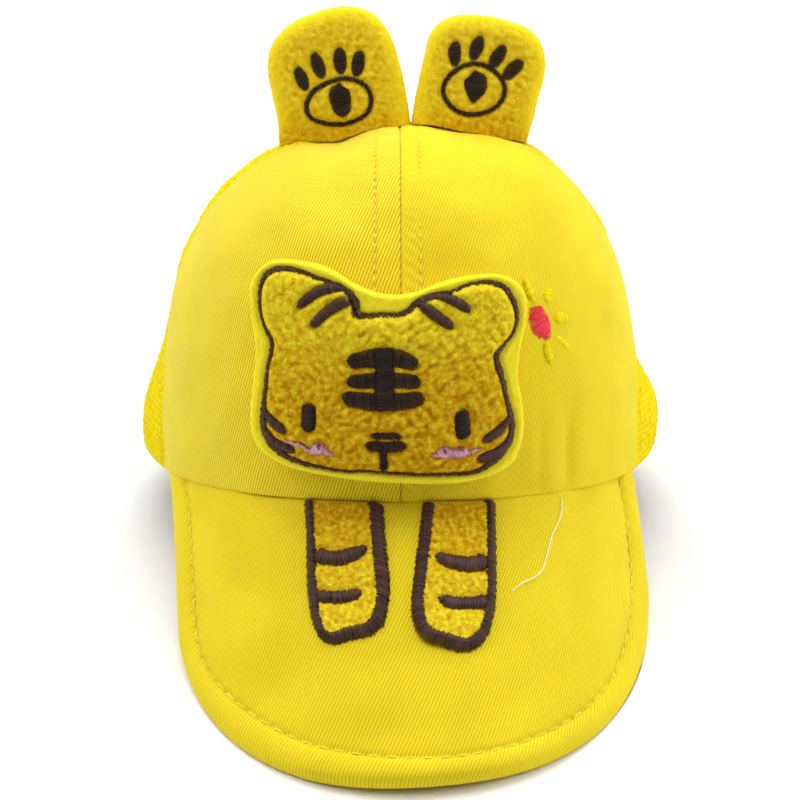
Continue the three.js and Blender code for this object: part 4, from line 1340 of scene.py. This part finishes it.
right_leg_bands = [
    stroke([(7.6, 0.4, 3.7), (6.7, 6.8, 3.8), (5.7, 13.5, 3.9), (4.7, 20, 4), (3.6, 26.5, 4.1),
            (3.3, 29.7, 4), (3.2, 32.9, 3.9), (3.8, 36.1, 3.9), (5.3, 39.3, 3.9), (8.1, 40.7, 3.9),
            (10.9, 41.6, 3.9), (13.7, 42.8, 3.9), (15.8, 43.3, 4.1), (18.2, 42.5, 4), (20.5, 40.1, 3.7),
            (21.9, 36.9, 3.6), (22.9, 33.7, 3.8), (23.4, 30.6, 3.7), (23.8, 27.3, 3.6), (24.2, 20.9, 3.6),
            (24.6, 14.3, 3.6), (24.9, 7.6, 3.6), (25.2, 0.4, 3.6)], lift=0.15),
    bar([(22.4, 19.2, 5.9), (19.5, 19.8, 5.6), (16.5, 19.7, 5.6), (13.5, 19, 5.2), (11.2, 18, 4.6),
         (9.8, 17.2, 3.6), (8.9, 16.7, 3)], 0.5),
    bar([(21.8, 31.3, 4.9), (18.8, 31.4, 4.4), (15.8, 31.4, 4.2), (12.9, 31.1, 4.4), (10.9, 30.4, 4.1),
         (9.6, 29.8, 2.8), (8.9, 29.5, 2.2)], 0.5),
]


def leg_table(border):
    """The fleece patch's outline: the middle line of its satin border, closed across the top under the
    hem."""
    return [(across, max(out, HEM_LINE)) for across, out in border["path"][::4]]


def leg_painted_light(plane):
    """Painted light and shade: darker towards the hem that the patch goes under, in the shade of the head
    over it, and lighter low down, where more light falls."""
    return 0.34 * (1 - ease(plane[..., 1], 2, 26)) - 0.14 * ease(plane[..., 1], 24, 36)


def leg_face(table, middle):
    """A place function for one leg's stitches: over the patch inside its outline, and down on the brim
    outside."""
    outline = smooth_path(table, True, 1.0)

    def face(across, out, lift):
        spots = np.stack([across, out], -1)
        distance, _ = distance_to_path(spots, outline, True)
        inside = np.where(star_share(spots, outline, middle) < 1, distance, -distance)
        low, high = -LEG_THICK / 2 - 0.2, LEG_THICK / 2 - 0.3
        return leg_place(across, out, low + (high - low) * ease(inside, -1.6, 0.4) + lift)

    return face


for side_name, middle, bands, seed in (
    ("left", (-16, 22), left_leg_bands, 71),
    ("right", (13, 22), right_leg_bands, 81),
):
    table = leg_table(bands[0])
    leg = fleece_pad(
        "leg_" + side_name, "_patch", table, middle, leg_place, bands[1:], leg_fleece, seed,
        thick=LEG_THICK / 2, width=1.2, lumps=0.13, columns=220, rows=32, press=0.35, painted_light=leg_painted_light,
    )
    stitched = leg_face(table, middle)
    satin("leg_stitches_" + side_name, bands, stitched, brown_thread, seed + 2, loft=0.7, jag=0.32, sink=0.3)
    open_pile = (leg["pressed"] < 0.5) & leg["front"][:, None]
    pile("leg_pile_" + side_name, leg, 6000, 0.42, 0.18, 1.8, seed + 3, open_pile, leg_fleece)

# %% [markdown]
# A small sun is embroidered beside the head: a red oval and five lemon rays. It lies on the crown's cloth,
# round a point that is given by its azimuth and rise.

# %% The sun
SUN_AZIMUTH, SUN_RISE, MM_PER_DEGREE, MM_PER_RISE, SUN_LIFT = 34.55, 0.277, 1.256, 137.3, 0.15


def sun_place(across, up, lift):
    """Millimetres round the sun's middle, turned to azimuth and rise by the crown's own scale there."""
    return crown_place(SUN_AZIMUTH + across / MM_PER_DEGREE, SUN_RISE + up / MM_PER_RISE, lift + SUN_LIFT)


sun_oval = [stroke([(-1.2, 4.3, 4.4), (-1.2, 3.8, 5.4), (-0.8, 2.1, 7.6), (-0.7, 0.6, 8.6),
                    (-0.3, -0.85, 9.2), (0.2, -2.3, 8), (0.8, -3.8, 5.6), (0.7, -4.7, 3)])]
sun_rays = [
    stroke([(-3, 12.7, 1.8), (-2.6, 10.5, 3), (-2.1, 8.3, 3), (-1.7, 6.5, 1.8)]),
    bar([(4.8, 9.3, 3.2), (4.3, 7.4, 4.4), (3.8, 6.2, 4.4), (3.3, 4.9, 3)]),
    bar([(4.9, 0, 3), (6.2, 0, 3.8), (8.4, -0.2, 3.9), (10, -0.4, 3.2)]),
    stroke([(4.2, -5.1, 1.8), (5.9, -6.3, 3.2), (7.4, -7.5, 3.1), (9, -8.8, 1.5)]),
    stroke([(0.3, -5.7, 2.8), (0.6, -7.8, 4), (0.9, -9.8, 3.4), (1.3, -12.2, 1.1)]),
]
satin("sun_oval_stitches", sun_oval, sun_place, red_thread, 91, loft=0.55, slot="pale_thread")
satin("sun_ray_stitches", sun_rays, sun_place, lemon_thread, 92, loft=0.6, slot="pale_thread")


# %% [markdown]
# Topstitching: two rows beside the centre seam and one round the brim.

# %% Topstitching
SEAM_PITCH, SEAM_STITCH, SEAM_THREAD = 3.3, 2.5, 0.19
SEAM_ROW_RISE = np.linspace(0.35, 0.93, 400)
SEAM_ROW_RUN = lengths_along(crown_point(0, SEAM_ROW_RISE), 0)


def seam_place(across, rise, lift):
    """A place at a length from the centre seam and a rise on the crown: the azimuth is the arc sine of the
    length over the half width at that rise."""
    reach = np.clip(np.cos(rise * np.pi / 2), 0.05, None) ** (2 / squareness(0))
    return crown_place(np.degrees(np.arcsin(np.clip(across / (RIM_SIDE * reach), -1, 1))), rise, lift)


def brim_place(across, out, lift):
    """A place on the brim's upper face, in the channel that the stitches pull."""
    height = np.asarray(lift) - BRIM_UNDER - CHANNEL_DEEP
    return sheet_point(across, out) + sheet_normal(across, out) * height[..., None]


for side_name, line, seed in (("left", STITCH_LINES[0], 95), ("right", STITCH_LINES[1], 96)):
    start = np.arange(0, SEAM_ROW_RUN[-1] - 2.6, SEAM_PITCH)[:, None]
    share = np.linspace(0, 1, STATIONS)
    rise = np.interp(start + share * SEAM_STITCH, SEAM_ROW_RUN, SEAM_ROW_RISE)
    spots = np.stack([np.full_like(rise, line), rise], -1)
    tones = np.random.default_rng(seed).uniform(0.3, 1, len(start))
    lay_threads("seam_topstitch_" + side_name, seam_place, spots, arched(share, 0.25, 0.4), SEAM_THREAD,
                pale_thread, tones, "pale_thread", sides=6, taper=0.7)
running_stitch("brim_topstitch", BRIM_STITCHES, brim_place, pale_thread, 97, 0.2, 0.24)

# %% [markdown]
# One sewing thread was left hanging loose on the brim. It is a stitch's tail some 30 mm long, too short and
# thin for a free cord, so it is a plain thin tube that lies on the cloth.

# %% The loose thread
LOOSE_THREAD = [(50.1, 1.6), (49.1, 6.7), (44.9, 13.4), (42.1, 19.6), (40.7, 22.9), (37.1, 25.2),
                (33.4, 26.3), (30, 28.4)]
tail = smooth_path(LOOSE_THREAD, False, 0.6)
lift = 0.25 + 0.5 * np.sin(np.linspace(0, 3 * np.pi, len(tail))) ** 2
normals = sheet_normal(tail[:, 0], tail[:, 1])
line = sheet_point(tail[:, 0], tail[:, 1]) + normals * (lift - BRIM_UNDER)[:, None]
loose = thread_tubes("loose_thread", line[None], normals[None], 0.16, white_thread, [1.0], sides=6, taper=0.9)

# %% [markdown]
# The studio: a plain pale floor, a white surround and large soft lamps. The strongest is above and a little
# behind the cap, and the left one is stronger than the right, which matches the photograph's soft shading.


# %% Floor and lights
def pale_floor():
    """A matte, nearly white sheet of paper."""
    finish = {"Roughness": 0.9, "Specular IOR Level": 0.1}
    material, tree, shader = new_material("matte white paper", finish)
    place = add(tree, "ShaderNodeTexCoord").outputs["Object"]
    grain = add(tree, "ShaderNodeTexNoise", {"Vector": place, "Scale": 900.0, "Detail": 2}).outputs["Fac"]
    shades = {"Factor": grain, "A": hex_colour("#F4F4F4"), "B": hex_colour("#FAFAFA")}
    colour = add(tree, "ShaderNodeMix", shades, data_type="RGBA")
    tree.links.new(colour.outputs["Result"], shader.inputs["Base Color"])
    return material


FLOOR_HALF, FLOOR_DROP = 1, 0.0005
floor_mesh = bpy.data.meshes.new("floor")
corners = [(x * FLOOR_HALF, y * FLOOR_HALF, -FLOOR_DROP) for x, y in ((-1, -1), (1, -1), (1, 1), (-1, 1))]
floor_mesh.from_pydata(corners, [], [(0, 1, 2, 3)])
floor_mesh.materials.append(pale_floor())
floor = bpy.data.objects.new("floor", floor_mesh)
bpy.context.scene.collection.objects.link(floor)
floor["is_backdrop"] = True


LAMP_AIM = Vector((0, 0, 0.06))


def soft_lamp(name, place, size, watts):
    """A square area lamp at a place, turned to shine at the middle of the cap."""
    lamp = bpy.data.objects.new(name, bpy.data.lights.new(name, "AREA"))
    lamp.data.size, lamp.data.energy = size, watts
    lamp.location = place
    lamp.rotation_euler = (Vector(place) - LAMP_AIM).to_track_quat("Z", "Y").to_euler()
    bpy.context.scene.collection.objects.link(lamp)


for name, place, size, watts in (
    ("overhead", (0, 0.55, 1.3), 1.2, 19),
    ("left", (-1, 0, 1), 1, 10.5),
    ("right", (1, 0, 1), 1, 5.5),
    ("right low", (1.3, 0, 0.45), 0.8, 6),
    ("front", (0, -0.75, 1.3), 1.2, 2),
):
    soft_lamp(name, place, size, watts)
world = bpy.data.worlds.new("white surround")
bpy.context.scene.world = world
world.use_nodes = True
seen = add(world.node_tree, "ShaderNodeLightPath").outputs["Is Camera Ray"]
strength = add(world.node_tree, "ShaderNodeMapRange", {"Value": seen, "To Min": 0.12, "To Max": 1}).outputs[0]
background = world.node_tree.nodes["Background"]
background.inputs["Color"].default_value = (1, 1, 1, 1)
world.node_tree.links.new(strength, background.inputs["Strength"])
bpy.context.scene.view_settings.view_transform = "Standard"
print("lamps:", len(bpy.data.lights))

# %% Sizes, and the end
size = {"cad": [list(corner) for corner in cad_box], "visual": [list(corner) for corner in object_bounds()]}
print("visual box in mm:", [[round(c * 1000, 1) for c in corner] for corner in size["visual"]])
